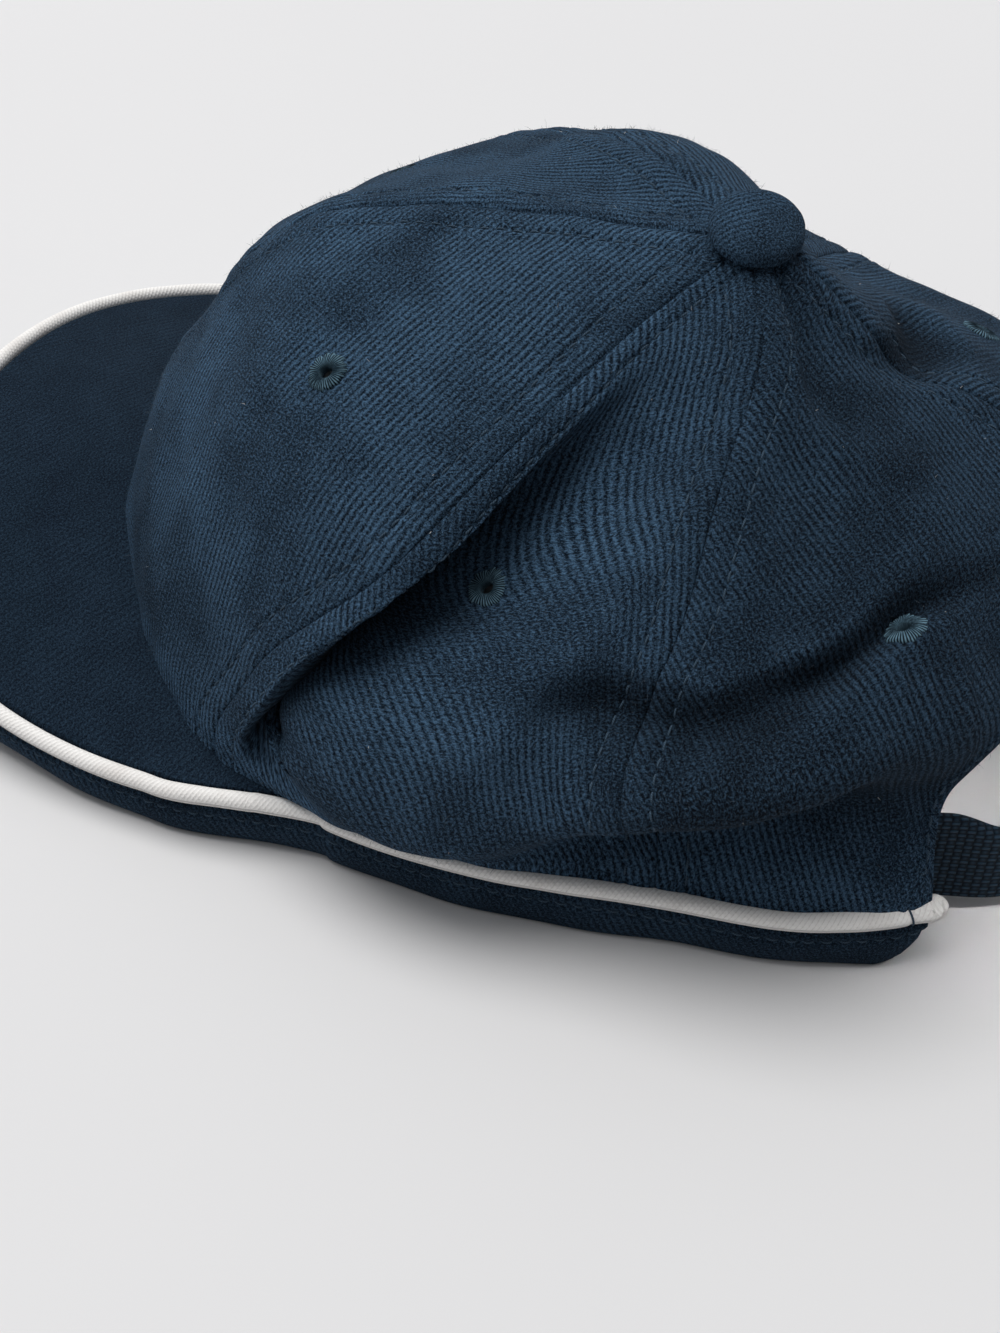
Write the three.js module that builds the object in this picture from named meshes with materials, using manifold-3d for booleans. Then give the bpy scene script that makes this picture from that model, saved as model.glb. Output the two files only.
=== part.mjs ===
// Six-panel soft cap with a curved peak, lying slumped on a table.
// Millimetres, +Z up, peak towards -Y, the wearer's left towards +X.
import * as THREE from 'three';
import { mergeVertices } from 'three/addons/utils/BufferGeometryUtils.js';
import Module from 'manifold-3d';

const wasm = await Module();
wasm.setup();

// ---- driving sizes ----
const FRAME_SHIFT = { x: -1.9, y: 9.3 };
const PANEL_WIDTH = 92;
const PANEL_LENGTH = 150;
const PANEL_TAPER = 0.94;
const CLOTH = 1.3;
const SEAM_GAP = 0.6;
const BUTTON = { x: 0, y: 33, z: 95, radius: 8.3, height: 4.6, seat: 5.2 };
const ARCH = { centre: 3, half: 0.5, top: 0.36, round: 0.8 };
const EYELET = { hole: 1.9, inner: 2.3, outer: 4.1, height: 0.9 };
const PIPING = { radius: 1.75, z: 10.9, sides: 8 };
const PIPING_TURN = [[0.9, 0.6], [1.4, 2.4]];
const BAND = { top: 8.85, inner: -1.7, outer: 1.0, bulge: 0.5 };
const PEAK = { halfWidth: 82, front: 103, square: 2.7, backY: -33, thickness: 3.2, corner: 1.27,
  inCorner: 1.08, cornerY: -43 };
const PEAK_EDGE = { low: 9, arch: 15, drop: 8.8, cornerRise: 1.2 };
const STRAP = { width: 21.2, thickness: 1.5, lift: 2.9, turn: 5.5, turnGap: 0.4, turnStart: 9 };
// The foot of the strap, from inside the left end of the opening round to the right end.
const STRAP_LINE = [[57.4, 78.5], [54.3, 88], [51, 98.5], [43, 108], [28, 113.5], [8, 113], [-14, 107.5],
  [-34, 97], [-46.5, 85]];
const BUCKLE = { at: 70, width: 19, height: 26.2, depth: 2, bar: 2.4, rail: 1.9, out: 2.7, step: 5.5,
  reach: 3.6 };
const NAVY = 0x16243a;
const WHITE = 0xe9e4da;

// Places along a panel from the rim (0) to the button (1) where the sections are given.
const LEVELS = [0, 0.10, 0.22, 0.33, 0.50, 0.68, 0.85, 1.0];

// One row for each section of the crown. u counts panels from the centre front round the wearer's
// left; Out is millimetres outwards from the rim, Z is height, sway leans the cloth to the rear.
const SECTION_COLUMNS = ['u', 'rimX', 'rimY', 'rimZ', 'stripOut', 'stripZ', 'rollOut', 'rollZ',
  'dipOut', 'dipZ', 'sideOut', 'sideZ', 'shoulderOut', 'shoulderZ', 'topOut', 'topZ',
  'swayLow', 'swayHigh', 'swayTop'];
const SECTIONS = [
  [0.0, 0, -91.5, 24, -3, 34, -9, 47, -18, 59.5, -29, 73, -48, 86, -80, 92, 0, 0, 0],
  [0.5, 42.4, -76, 18, -3, 28, -9, 40, -16, 52, -27, 64, -48, 77, -80, 88, 0, 17, 0],
  [1.0, 72.5, -44.5, 13, -1, 21, -5, 30, -12, 41, -25, 54, -45, 69, -75, 83, 3, 16, 0],
  [1.3, 80, -20, 13, 4, 16, 9, 24, 4, 38, -16, 52, -42, 67, -70, 83, 0, 6, 0],
  [1.6, 82, 6, 13, 3, 16, 8, 23, 3, 37, -16, 53, -42, 69, -66, 85, 0, 2, 2],
  [2.0, 78, 42, 13, -8, 22, 6, 34, -6, 46, -22, 59, -41, 75, -60, 87, -7, 0, 5],
  [2.3, 74, 70, 13, -12, 29, 1, 46, -11, 56, -24, 62, -44, 72, -62, 85, 0, 0, 3],
  [2.5, 65, 87.5, 13, -9, 29, -6, 47, -15, 58, -27, 65, -46, 72, -66, 82, 0, 0, 0],
  [2.75, 40, 104, 13, -4, 28, -5, 43, -10, 54, -20, 63, -40, 71, -62, 81, 0, 3, 0],
  [3.0, 8, 112, 13, 0, 28, 1, 43, -3, 53, -12, 60, -30, 67, -55, 79, 0, 7, 0],
  [3.5, -46, 94, 13, 1, 28, 1, 43, -4, 51, -15, 58, -34, 68, -55, 80, 0, 3, 0],
  [4.0, -76, 42, 13, 2, 28, 2, 43, -5, 52, -19, 60, -38, 70, -55, 84, 0, 0, 0],
  [4.5, -82, -2, 13, 2, 28, 3, 44, -2, 56, -13, 68, -33, 82, -57, 91, 0, 0, 0],
  [5.0, -73, -46, 13, 1, 28, 1, 44, -4, 55, -15, 67, -38, 82, -72, 94, 0, 0, 0],
  [5.5, -42.4, -76, 18, 0, 30, -4, 43, -10, 56, -21, 69, -44, 82, -80, 92, 0, 0, 0],
];

// One row for each fold: it runs from (u0, v0) to (u1, v1). Beyond the lip the cloth drops by
// depth over the wall's length of cloth, is drawn back under by tuck, and recovers over run.
const FOLDS = [
  { name: 'overhang', u0: 1, v0: 0.12, u1: 1, v1: 0.89, lip: 7.5, wall: 12, run: 34, depth: 11, tuck: 10 },
  { name: 'hollow', u0: 2.75, v0: 0.86, u1: 3.85, v1: 0.7, lip: -7, wall: 7, run: 9, depth: 3.5, tuck: 0 },
  { name: 'valleyFront', u0: 1.62, v0: 0.46, u1: 2.25, v1: 0.27, lip: -8, wall: 8, run: 9, depth: 2.8, tuck: 0 },
  { name: 'valleyRear', u0: 2.0, v0: 0.28, u1: 2.75, v1: 0.51, lip: -8, wall: 8, run: 9, depth: 3.2, tuck: 0 },
];

// Eyelets: where each sits on the crown and how far its ring stands off the cloth.
const EYELETS = [
  { name: 'front_left', u: 0.43, v: 0.655, lift: 0.55 },
  { name: 'mid_left', u: 1.53, v: 0.595, lift: 0.55 },
  { name: 'rear_left', u: 2.48, v: 0.4, lift: 1.4 },
  { name: 'rear_right', u: 3.5, v: 0.6, lift: 0.55 },
  { name: 'mid_right', u: 4.5, v: 0.6, lift: 0.55 },
  { name: 'front_right', u: 5.5, v: 0.62, lift: 0.55 },
];

const PANELS = [
  { name: 'panel_front_left', start: 0 },
  { name: 'panel_mid_left', start: 1 },
  { name: 'panel_rear_left', start: 2 },
  { name: 'panel_rear_right', start: 3 },
  { name: 'panel_mid_right', start: 4 },
  { name: 'panel_front_right', start: 5 },
];
const PANEL_ROWS = 20;
const PANEL_STEPS = 10;
const FOLD_STEPS = [0, 3.8, 7, 9, 11, 13, 15, 17, 19, 22];

// ---- the crown's surface ----
function smooth(x) {
  const t = Math.min(1, Math.max(0, x));
  return t * t * (3 - 2 * t);
}

// Smooth curve through the rows of a table; slopes weigh the two neighbouring spans.
function through(xs, ys, x) {
  const last = xs.length - 1;
  let i = 0;
  while (i < last - 1 && x >= xs[i + 1]) i += 1;
  const span = (k) => xs[k + 1] - xs[k];
  const rise = (k) => (ys[k + 1] - ys[k]) / span(k);
  const slope = (k) => {
    if (k === 0) return rise(0);
    if (k === last) return rise(last - 1);
    return (rise(k - 1) * span(k) + rise(k) * span(k - 1)) / (span(k) + span(k - 1));
  };
  const w = span(i);
  const t = (x - xs[i]) / w;
  const a = (2 * t * t * t - 3 * t * t + 1) * ys[i];
  const b = (t * t * t - 2 * t * t + t) * w * slope(i);
  const c = (-2 * t * t * t + 3 * t * t) * ys[i + 1];
  const d = (t * t * t - t * t) * w * slope(i + 1);
  return a + b + c + d;
}

const wrapped = [SECTIONS[SECTIONS.length - 1], ...SECTIONS, SECTIONS[0], SECTIONS[1]];
const wrappedU = wrapped.map((row, i) => row[0] + (i === 0 ? -6 : i > SECTIONS.length ? 6 : 0));
const wrappedColumns = SECTION_COLUMNS.map((name, k) => wrapped.map((row) => row[k]));
const sectionCache = new Map();

function section(u) {
  const turn = ((u % 6) + 6) % 6;
  const key = turn.toFixed(6);
  if (!sectionCache.has(key)) {
    const row = {};
    SECTION_COLUMNS.forEach((name, k) => {
      row[name] = k === 0 ? turn : through(wrappedU, wrappedColumns[k], turn);
    });
    sectionCache.set(key, row);
  }
  return sectionCache.get(key);
}

function bell(x, centre, width) {
  const t = (x - centre) / width;
  return Math.exp(-t * t);
}

function plainCrown(u, v) {
  const s = section(u);
  const dx = s.rimX - BUTTON.x;
  const dy = s.rimY - BUTTON.y;
  const reach = Math.hypot(dx, dy);
  const ox = dx / reach;
  const oy = dy / reach;
  const outs = [0, s.stripOut, s.rollOut, s.dipOut, s.sideOut, s.shoulderOut, s.topOut,
    BUTTON.seat - reach];
  const heights = [s.rimZ, s.stripZ, s.rollZ, s.dipZ, s.sideZ, s.shoulderZ, s.topZ,
    BUTTON.z - 1.2];
  const out = through(LEVELS, outs, v);
  const z = through(LEVELS, heights, v);
  const sway = s.swayLow * bell(v, 0.28, 0.16) + s.swayHigh * bell(v, 0.6, 0.25)
    + s.swayTop * bell(v, 0.8, 0.13);
  return new THREE.Vector3(s.rimX + out * ox - sway * oy, s.rimY + out * oy + sway * ox, z);
}

function foldWidth(v) {
  return Math.hypot(PANEL_WIDTH * (1 - PANEL_TAPER * v), 24);
}

function crown(u, v) {
  const step = 0.001;
  const p = plainCrown(u, v);
  const along = plainCrown(u + step, v).sub(plainCrown(u - step, v)).normalize();
  const up = plainCrown(u, Math.min(1, v + step)).sub(plainCrown(u, Math.max(0, v - step)));
  const out = along.clone().cross(up).normalize();
  for (const f of FOLDS) {
    const turn = u - 6 * Math.floor(u / 6);
    const width = foldWidth(v);
    const fx = (f.u1 - f.u0) * width;
    const fy = (f.v1 - f.v0) * PANEL_LENGTH;
    const length = Math.hypot(fx, fy);
    const px = (turn - f.u0) * width;
    const py = (v - f.v0) * PANEL_LENGTH;
    const t = (px * fx + py * fy) / (length * length);
    if (t <= 0 || t >= 1) continue;
    const across = (px * fy - py * fx) / length;
    const strength = Math.pow(Math.sin(Math.PI * t), 0.7);
    const drop = smooth((across - f.lip) / f.wall);
    const back = 1 - smooth((across - f.lip - f.wall) / f.run);
    p.addScaledVector(out, -strength * f.depth * drop * back);
    p.addScaledVector(along, -strength * f.tuck * drop * back);
  }
  return p;
}

function crownNormal(u, v) {
  const du = 0.9 / foldWidth(v);
  const dv = 0.9 / PANEL_LENGTH;
  const along = crown(u + du, v).sub(crown(u - du, v));
  const up = crown(u, Math.min(1, v + dv)).sub(crown(u, Math.max(0, v - dv)));
  return along.cross(up).normalize();
}

function archBottom(u) {
  const t = Math.abs(u - ARCH.centre) / ARCH.half;
  return t >= 1 ? 0 : ARCH.top * Math.pow(1 - t * t, ARCH.round);
}

// ---- solids from grids and loops ----
function volumeOf(points, triangles) {
  let sum = 0;
  for (const [a, b, c] of triangles) {
    sum += points[a].dot(points[b].clone().cross(points[c])) / 6;
  }
  return sum;
}

function geometryOf(points, wanted) {
  const turned = volumeOf(points, wanted) < 0;
  const triangles = turned ? wanted.map(([a, b, c]) => [a, c, b]) : wanted;
  const g = new THREE.BufferGeometry();
  const data = new Float32Array(points.length * 3);
  points.forEach((p, i) => p.toArray(data, i * 3));
  g.setAttribute('position', new THREE.BufferAttribute(data, 3));
  g.setIndex(triangles.flat());
  return g;
}

// A sheet of cloth: outer and inner grids of the same size, closed round the edge.
function sheetSolid(outer, inner) {
  const rows = outer.length;
  const cols = outer[0].length;
  const points = [...outer.flat(), ...inner.flat()];
  const top = (i, j) => i * cols + j;
  const low = (i, j) => rows * cols + i * cols + j;
  const tris = [];
  const quad = (a, b, c, d) => {
    if (points[a].distanceTo(points[c]) <= points[b].distanceTo(points[d])) {
      tris.push([a, b, c]);
      tris.push([a, c, d]);
    } else {
      tris.push([a, b, d]);
      tris.push([b, c, d]);
    }
  };
  for (let i = 0; i < rows - 1; i += 1) {
    for (let j = 0; j < cols - 1; j += 1) {
      quad(top(i, j), top(i + 1, j), top(i + 1, j + 1), top(i, j + 1));
      quad(low(i, j), low(i, j + 1), low(i + 1, j + 1), low(i + 1, j));
    }
  }
  for (let i = 0; i < rows - 1; i += 1) {
    quad(low(i, 0), low(i + 1, 0), top(i + 1, 0), top(i, 0));
    quad(top(i, cols - 1), top(i + 1, cols - 1), low(i + 1, cols - 1), low(i, cols - 1));
  }
  for (let j = 0; j < cols - 1; j += 1) {
    quad(top(0, j), top(0, j + 1), low(0, j + 1), low(0, j));
    quad(low(rows - 1, j), low(rows - 1, j + 1), top(rows - 1, j + 1), top(rows - 1, j));
  }
  return geometryOf(points, tris);
}

// A bar: loops of points joined one to the next. With an outline its two ends are capped;
// without one the last loop joins the first.
function loopSolid(loops, outline) {
  const ring = !outline;
  const n = loops[0].length;
  const points = loops.flat();
  const tris = [];
  const count = ring ? loops.length : loops.length - 1;
  for (let i = 0; i < count; i += 1) {
    const next = (i + 1) % loops.length;
    for (let j = 0; j < n; j += 1) {
      const k = (j + 1) % n;
      tris.push([i * n + j, next * n + j, next * n + k]);
      tris.push([i * n + j, next * n + k, i * n + k]);
    }
  }
  if (!ring) {
    const end = (loops.length - 1) * n;
    for (const [a, b, c] of THREE.ShapeUtils.triangulateShape(outline, [])) {
      tris.push([a, b, c]);
      tris.push([end + a, end + c, end + b]);
    }
  }
  return geometryOf(points, tris);
}

function solidOf(geometry) {
  const bare = geometry.clone();
  bare.deleteAttribute('normal');
  bare.deleteAttribute('uv');
  const g = mergeVertices(bare, 1e-5);
  const mesh = new wasm.Mesh({
    numProp: 3,
    vertProperties: new Float32Array(g.attributes.position.array),
    triVerts: new Uint32Array(g.index.array),
  });
  return new wasm.Manifold(mesh);
}

function fromSolid(solid) {
  const m = solid.getMesh();
  const g = new THREE.BufferGeometry();
  const data = new Float32Array(m.numVert * 3);
  for (let i = 0; i < m.numVert; i += 1) {
    for (let k = 0; k < 3; k += 1) data[i * 3 + k] = m.vertProperties[i * m.numProp + k];
  }
  g.setAttribute('position', new THREE.BufferAttribute(data, 3));
  g.setIndex(Array.from(m.triVerts));
  return g;
}

const group = new THREE.Group();

function add(name, geometry, color, roughness) {
  const g = geometry.clone();
  g.translate(FRAME_SHIFT.x, FRAME_SHIFT.y, 0);
  g.computeVertexNormals();
  const material = new THREE.MeshStandardMaterial({ color, roughness, metalness: 0 });
  const mesh = new THREE.Mesh(g, material);
  mesh.name = name;
  group.add(mesh);
}

// ---- crown panels ----
function panelColumns(start, v) {
  const edge = (0.5 * SEAM_GAP) / (PANEL_WIDTH * (1 - PANEL_TAPER * v));
  const first = start + edge;
  const last = start + 1 - edge;
  const columns = [];
  if (start === 1) {
    const width = foldWidth(v);
    FOLD_STEPS.forEach((d, i) => columns.push(i === 0 ? first : start + d / width));
    const from = columns[columns.length - 1];
    for (let i = 1; i <= 6; i += 1) columns.push(from + ((last - from) * i) / 6);
    return columns;
  }
  if (start === 2 || start === 3) {
    const marks = [0, 0.14, 0.28, 0.4, 0.47, 0.52, 0.57, 0.63, 0.7, 0.79, 0.89, 1];
    const shares = start === 2 ? marks : marks.map((m) => 1 - m).reverse();
    return shares.map((m) => first + (last - first) * m);
  }
  for (let i = 0; i <= PANEL_STEPS; i += 1) columns.push(first + ((last - first) * i) / PANEL_STEPS);
  return columns;
}

function panelSolid(start) {
  const outer = [];
  const inner = [];
  for (let r = 0; r <= PANEL_ROWS; r += 1) {
    const share = Math.pow(r / PANEL_ROWS, 1.08);
    const outerRow = [];
    const innerRow = [];
    const count = panelColumns(start, 0).length;
    for (let c = 0; c < count; c += 1) {
      const bottom = archBottom(panelColumns(start, 0)[c]);
      const v = share + bottom * Math.pow(1 - share, 2);
      const u = panelColumns(start, v)[c];
      const p = crown(u, v);
      outerRow.push(p);
      const q = p.clone().addScaledVector(crownNormal(u, v), -CLOTH);
      if (r === 0 && bottom === 0) q.z = p.z;
      innerRow.push(q);
    }
    outer.push(outerRow);
    inner.push(innerRow);
  }
  return sheetSolid(outer, inner);
}

function eyeletFrame(e) {
  const p = crown(e.u, e.v);
  const n = crownNormal(e.u, e.v);
  const across = crown(e.u + 0.01, e.v).sub(crown(e.u - 0.01, e.v)).normalize();
  const x = across.addScaledVector(n, -across.dot(n)).normalize();
  const y = n.clone().cross(x);
  return new THREE.Matrix4().makeBasis(x, y, n).setPosition(p);
}

function eyeletHole(e) {
  const g = new THREE.CylinderGeometry(EYELET.hole, EYELET.hole, 10, 12);
  g.rotateX(Math.PI / 2);
  g.applyMatrix4(eyeletFrame(e));
  return g;
}

PANELS.forEach((panel, i) => {
  const whole = solidOf(panelSolid(panel.start));
  const bored = whole.subtract(solidOf(eyeletHole(EYELETS[i])));
  add(panel.name, fromSolid(bored), NAVY, 0.92);
});

// ---- stitched eyelets, following the cloth under them ----
function onCloth(e, normal, across, up, height) {
  const du = 0.01;
  const dv = 0.01;
  const overU = crown(e.u + du, e.v).sub(crown(e.u - du, e.v)).divideScalar(2 * du);
  const overV = crown(e.u, e.v + dv).sub(crown(e.u, e.v - dv)).divideScalar(2 * dv);
  const side = overU.clone().normalize();
  const b = up / overV.dot(normal.clone().cross(side));
  const a = (across - b * overV.dot(side)) / overU.length();
  return crown(e.u + a, e.v + b).addScaledVector(normal, height);
}

function eyeletRing(e) {
  const middle = 0.5 * (EYELET.inner + EYELET.outer);
  const outline = [
    [EYELET.outer, e.lift],
    [EYELET.outer - 0.15, e.lift + 0.6 * EYELET.height],
    [middle, e.lift + EYELET.height],
    [EYELET.inner + 0.1, e.lift + 0.6 * EYELET.height],
    [EYELET.inner, e.lift],
  ];
  const normal = crownNormal(e.u, e.v);
  const loops = [];
  for (let k = 0; k < 16; k += 1) {
    const a = (k * Math.PI) / 8;
    loops.push(outline.map(([r, h]) => onCloth(e, normal, r * Math.cos(a), r * Math.sin(a), h)));
  }
  return loopSolid(loops);
}

EYELETS.forEach((e) => add(`eyelet_${e.name}`, eyeletRing(e), NAVY, 0.8));

// ---- button ----
function button() {
  const r = BUTTON.radius;
  const h = BUTTON.height;
  const low = BUTTON.z - 0.3;
  const outline = [
    [0, low], [r * 0.86, low], [r * 0.97, low + h * 0.14], [r, low + h * 0.34],
    [r * 0.96, low + h * 0.58], [r * 0.84, low + h * 0.8], [r * 0.6, low + h * 0.94], [0, low + h],
  ];
  const g = new THREE.LatheGeometry(outline.map(([x, y]) => new THREE.Vector2(x, y)), 24);
  g.rotateX(Math.PI / 2);
  return g;
}

const buttonGeometry = button();
buttonGeometry.translate(BUTTON.x, BUTTON.y, 0);
add('top_button', buttonGeometry, NAVY, 0.9);

// ---- the edge: round the crown's rim and out round the peak ----
function rimPoint(u) {
  const s = section(u);
  return new THREE.Vector2(s.rimX, s.rimY);
}

function peakEdge(angle) {
  const sx = Math.sin(angle);
  const cy = Math.cos(angle);
  const power = 2 / PEAK.square;
  const x = PEAK.halfWidth * Math.sign(sx) * Math.pow(Math.abs(sx), power);
  const y = PEAK.backY - PEAK.front * Math.pow(Math.abs(cy), power);
  return new THREE.Vector2(x, y);
}

function edgeHeight(p) {
  if (p.y > PEAK.backY) return PIPING.z;
  const corner = smooth((p.y + 70) / 37);
  const across = Math.min(1, Math.abs(p.x) / PEAK.halfWidth);
  return PEAK_EDGE.low + PEAK_EDGE.cornerRise * corner + PEAK_EDGE.arch * (1 - across * across);
}

const edgePath = [];
for (let i = 0; i <= 22; i += 1) edgePath.push(rimPoint(2.5 - (i * (2.5 - PEAK.corner)) / 22));
for (let i = 1; i < 48; i += 1) edgePath.push(peakEdge((Math.PI / 2) * (1 - i / 24)));
for (let i = 0; i <= 22; i += 1) edgePath.push(rimPoint(6 - PEAK.corner - (i * (2.5 - PEAK.corner)) / 22));

// Evened-out path with the outward direction at every point.
function evenPath(points, count) {
  const curve = new THREE.SplineCurve(points);
  return curve.getSpacedPoints(count);
}

const EDGE_STEPS = 84;
const edge = evenPath(edgePath, EDGE_STEPS).map((p, i, all) => {
  const a = all[Math.max(0, i - 1)];
  const b = all[Math.min(all.length - 1, i + 1)];
  const t = b.clone().sub(a).normalize();
  return { x: p.x, y: p.y, z: edgeHeight(p), ox: -t.y, oy: t.x };
});
edge.forEach((e) => {
  if (e.ox * e.x + e.oy * (e.y + 20) < 0) {
    e.ox = -e.ox;
    e.oy = -e.oy;
  }
});

function edgePoint(e, out, z) {
  return new THREE.Vector3(e.x + out * e.ox, e.y + out * e.oy, z);
}

// The piping's middle line; both of its ends turn up against the hem of the rear opening.
function pipingLine() {
  const line = edge.map((e) => ({ p: edgePoint(e, 0, e.z), out: new THREE.Vector3(e.ox, e.oy, 0) }));
  const turned = (end, before) => PIPING_TURN.map(([ahead, up]) => {
    const way = end.p.clone().sub(before.p).setZ(0).normalize();
    const p = end.p.clone().addScaledVector(way, ahead);
    p.z += up;
    return { p, out: end.out };
  });
  const last = line.length - 1;
  return [...turned(line[0], line[1]).reverse(), ...line, ...turned(line[last], line[last - 1])];
}

function circleOutline(radius, sides) {
  const outline = [];
  for (let k = 0; k < sides; k += 1) {
    const turn = (2 * Math.PI * k) / sides;
    outline.push(new THREE.Vector2(radius * Math.cos(turn), radius * Math.sin(turn)));
  }
  return outline;
}

function piping() {
  const line = pipingLine();
  const outline = circleOutline(PIPING.radius, PIPING.sides);
  const loops = line.map(({ p, out }, i) => {
    const a = line[Math.max(0, i - 1)].p;
    const b = line[Math.min(line.length - 1, i + 1)].p;
    const up = b.clone().sub(a).cross(out).normalize();
    if (up.z < 0) up.negate();
    return outline.map((c) => p.clone().addScaledVector(out, c.x).addScaledVector(up, c.y));
  });
  return loopSolid(loops, outline);
}

function band() {
  const outlineAt = (low, top) => [
    new THREE.Vector2(BAND.inner, low),
    new THREE.Vector2(BAND.outer, low),
    new THREE.Vector2(BAND.outer + BAND.bulge, 0.5 * (low + top)),
    new THREE.Vector2(BAND.outer, top),
    new THREE.Vector2(BAND.inner, top),
  ];
  const loops = edge.map((e) => {
    const top = e.z - (PIPING.z - BAND.top);
    const corner = smooth((e.y + 70) / 37);
    const low = Math.max(0, e.z - PEAK_EDGE.drop - (PIPING.z - PEAK_EDGE.drop) * corner);
    return outlineAt(low, top).map((c) => edgePoint(e, c.x, c.y));
  });
  return loopSolid(loops, outlineAt(0, BAND.top));
}

add('piping', piping(), WHITE, 0.85);
add('edge_band', band(), NAVY, 0.92);

// ---- peak ----
const PEAK_COLUMNS = 36;
const PEAK_ROWS = 5;

function peakGrid(below) {
  const front = edge.filter((e) => e.y < PEAK.cornerY);
  const grid = [];
  for (let i = 0; i <= PEAK_ROWS; i += 1) {
    const s = i / PEAK_ROWS;
    const row = [];
    for (let j = 0; j <= PEAK_COLUMNS; j += 1) {
      const a = j / PEAK_COLUMNS;
      const e = front[Math.round(a * (front.length - 1))];
      const outer = edgePoint(e, -PIPING.radius - 0.4, e.z + 0.9);
      const u = PEAK.inCorner * (1 - 2 * a);
      const rim = section(u);
      const reach = Math.hypot(rim.rimX, rim.rimY);
      const inside = 1 + 0.9 / reach;
      const inner = new THREE.Vector3(rim.rimX * inside, rim.rimY * inside, rim.rimZ - 1.0);
      const p = inner.lerp(outer, s);
      p.z -= below;
      row.push(p);
    }
    grid.push(row);
  }
  return grid;
}

add('peak', sheetSolid(peakGrid(0), peakGrid(PEAK.thickness)), NAVY, 0.93);

// ---- strap across the rear opening ----
const strapCurve = new THREE.SplineCurve(STRAP_LINE.map(([x, y]) => new THREE.Vector2(x, y)));
const strapLength = strapCurve.getLength();

// Millimetres along the strap: its foot, the way it runs, outwards and upwards.
function strapFrame(at) {
  const share = Math.min(1, Math.max(0, at / strapLength));
  const p = strapCurve.getPointAt(share);
  const t = strapCurve.getTangentAt(share);
  return {
    foot: new THREE.Vector3(p.x, p.y, STRAP.lift),
    out: new THREE.Vector3(t.y, -t.x, 0),
    up: new THREE.Vector3(0, 0, 1),
  };
}

// The webbing stands on edge; along the opening its upper edge is turned down on the inside.
function strapOutline(at) {
  const t = STRAP.thickness;
  const slack = smooth((at - STRAP.turnStart) / 12) * smooth((BUCKLE.at - 13 - at) / 12);
  const turned = 0.2 + STRAP.turn * slack;
  const flap = t * (0.1 + 0.9 * slack);
  const inside = -0.5 * t - 0.05 - STRAP.turnGap * slack;
  const tall = STRAP.width - STRAP.turn * slack;
  const low = tall - t - turned;
  return [
    new THREE.Vector2(0.5 * t, 0),
    new THREE.Vector2(0.5 * t, tall),
    new THREE.Vector2(inside - flap, tall),
    new THREE.Vector2(inside - flap, low),
    new THREE.Vector2(inside, low),
    new THREE.Vector2(inside, tall - t),
    new THREE.Vector2(-0.5 * t, tall - t),
    new THREE.Vector2(-0.5 * t, 0),
  ];
}

function strapPiece(stations, outAt) {
  const loops = [];
  for (const at of stations) {
    const f = strapFrame(at);
    loops.push(strapOutline(at).map((c) => f.foot.clone()
      .addScaledVector(f.out, c.x + outAt(at))
      .addScaledVector(f.up, c.y)));
  }
  return loopSolid(loops, strapOutline(stations[0]));
}

function evenSteps(from, to, count) {
  const steps = [];
  for (let i = 0; i <= count; i += 1) steps.push(from + ((to - from) * i) / count);
  return steps;
}

const overBar = (at) => BUCKLE.step * bell(at, BUCKLE.at, BUCKLE.reach);
const inSlot = 0.5 * BUCKLE.width - BUCKLE.bar;
const leftSteps = [...evenSteps(0, BUCKLE.at - 10, 14),
  ...evenSteps(BUCKLE.at - inSlot - 0.6, BUCKLE.at + inSlot - 0.6, 14)];
add('strap_left', strapPiece(leftSteps, overBar), NAVY, 0.85);
const rightSteps = evenSteps(BUCKLE.at + inSlot, strapLength, 12);
add('strap_right', strapPiece(rightSteps, () => 0), NAVY, 0.85);

function buckle() {
  const w = 0.5 * BUCKLE.width;
  const h = 0.5 * BUCKLE.height;
  const shape = new THREE.Shape();
  shape.moveTo(-w + 2, -h);
  shape.lineTo(w - 2, -h);
  shape.quadraticCurveTo(w, -h, w, -h + 2);
  shape.lineTo(w, h - 2);
  shape.quadraticCurveTo(w, h, w - 2, h);
  shape.lineTo(-w + 2, h);
  shape.quadraticCurveTo(-w, h, -w, h - 2);
  shape.lineTo(-w, -h + 2);
  const g = new THREE.ExtrudeGeometry(shape, {
    depth: BUCKLE.depth,
    bevelEnabled: false,
    curveSegments: 3,
  });
  g.translate(0, 0, -0.5 * BUCKLE.depth);
  let frame = solidOf(g);
  const slotWidth = w - 1.5 * BUCKLE.bar;
  for (const side of [-1, 1]) {
    const slot = new THREE.BoxGeometry(slotWidth, 2 * (h - BUCKLE.rail), 4 * BUCKLE.depth);
    slot.translate(side * 0.5 * (BUCKLE.bar + slotWidth), 0, 0);
    frame = frame.subtract(solidOf(slot));
  }
  const f = strapFrame(BUCKLE.at);
  const middle = f.foot.clone().addScaledVector(f.up, 0.5 * STRAP.width);
  middle.addScaledVector(f.out, BUCKLE.out);
  const across = f.up.clone().cross(f.out);
  const place = new THREE.Matrix4().makeBasis(across, f.up, f.out).setPosition(middle);
  return fromSolid(frame).applyMatrix4(place);
}

add('strap_buckle', buckle(), 0x4a4a48, 0.45);

export default group;
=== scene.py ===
# Navy six-panel cap with white piping, slumped on a table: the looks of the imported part.
import math

import bpy
import numpy as np
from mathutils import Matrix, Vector
from mathutils.kdtree import KDTree


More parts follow.
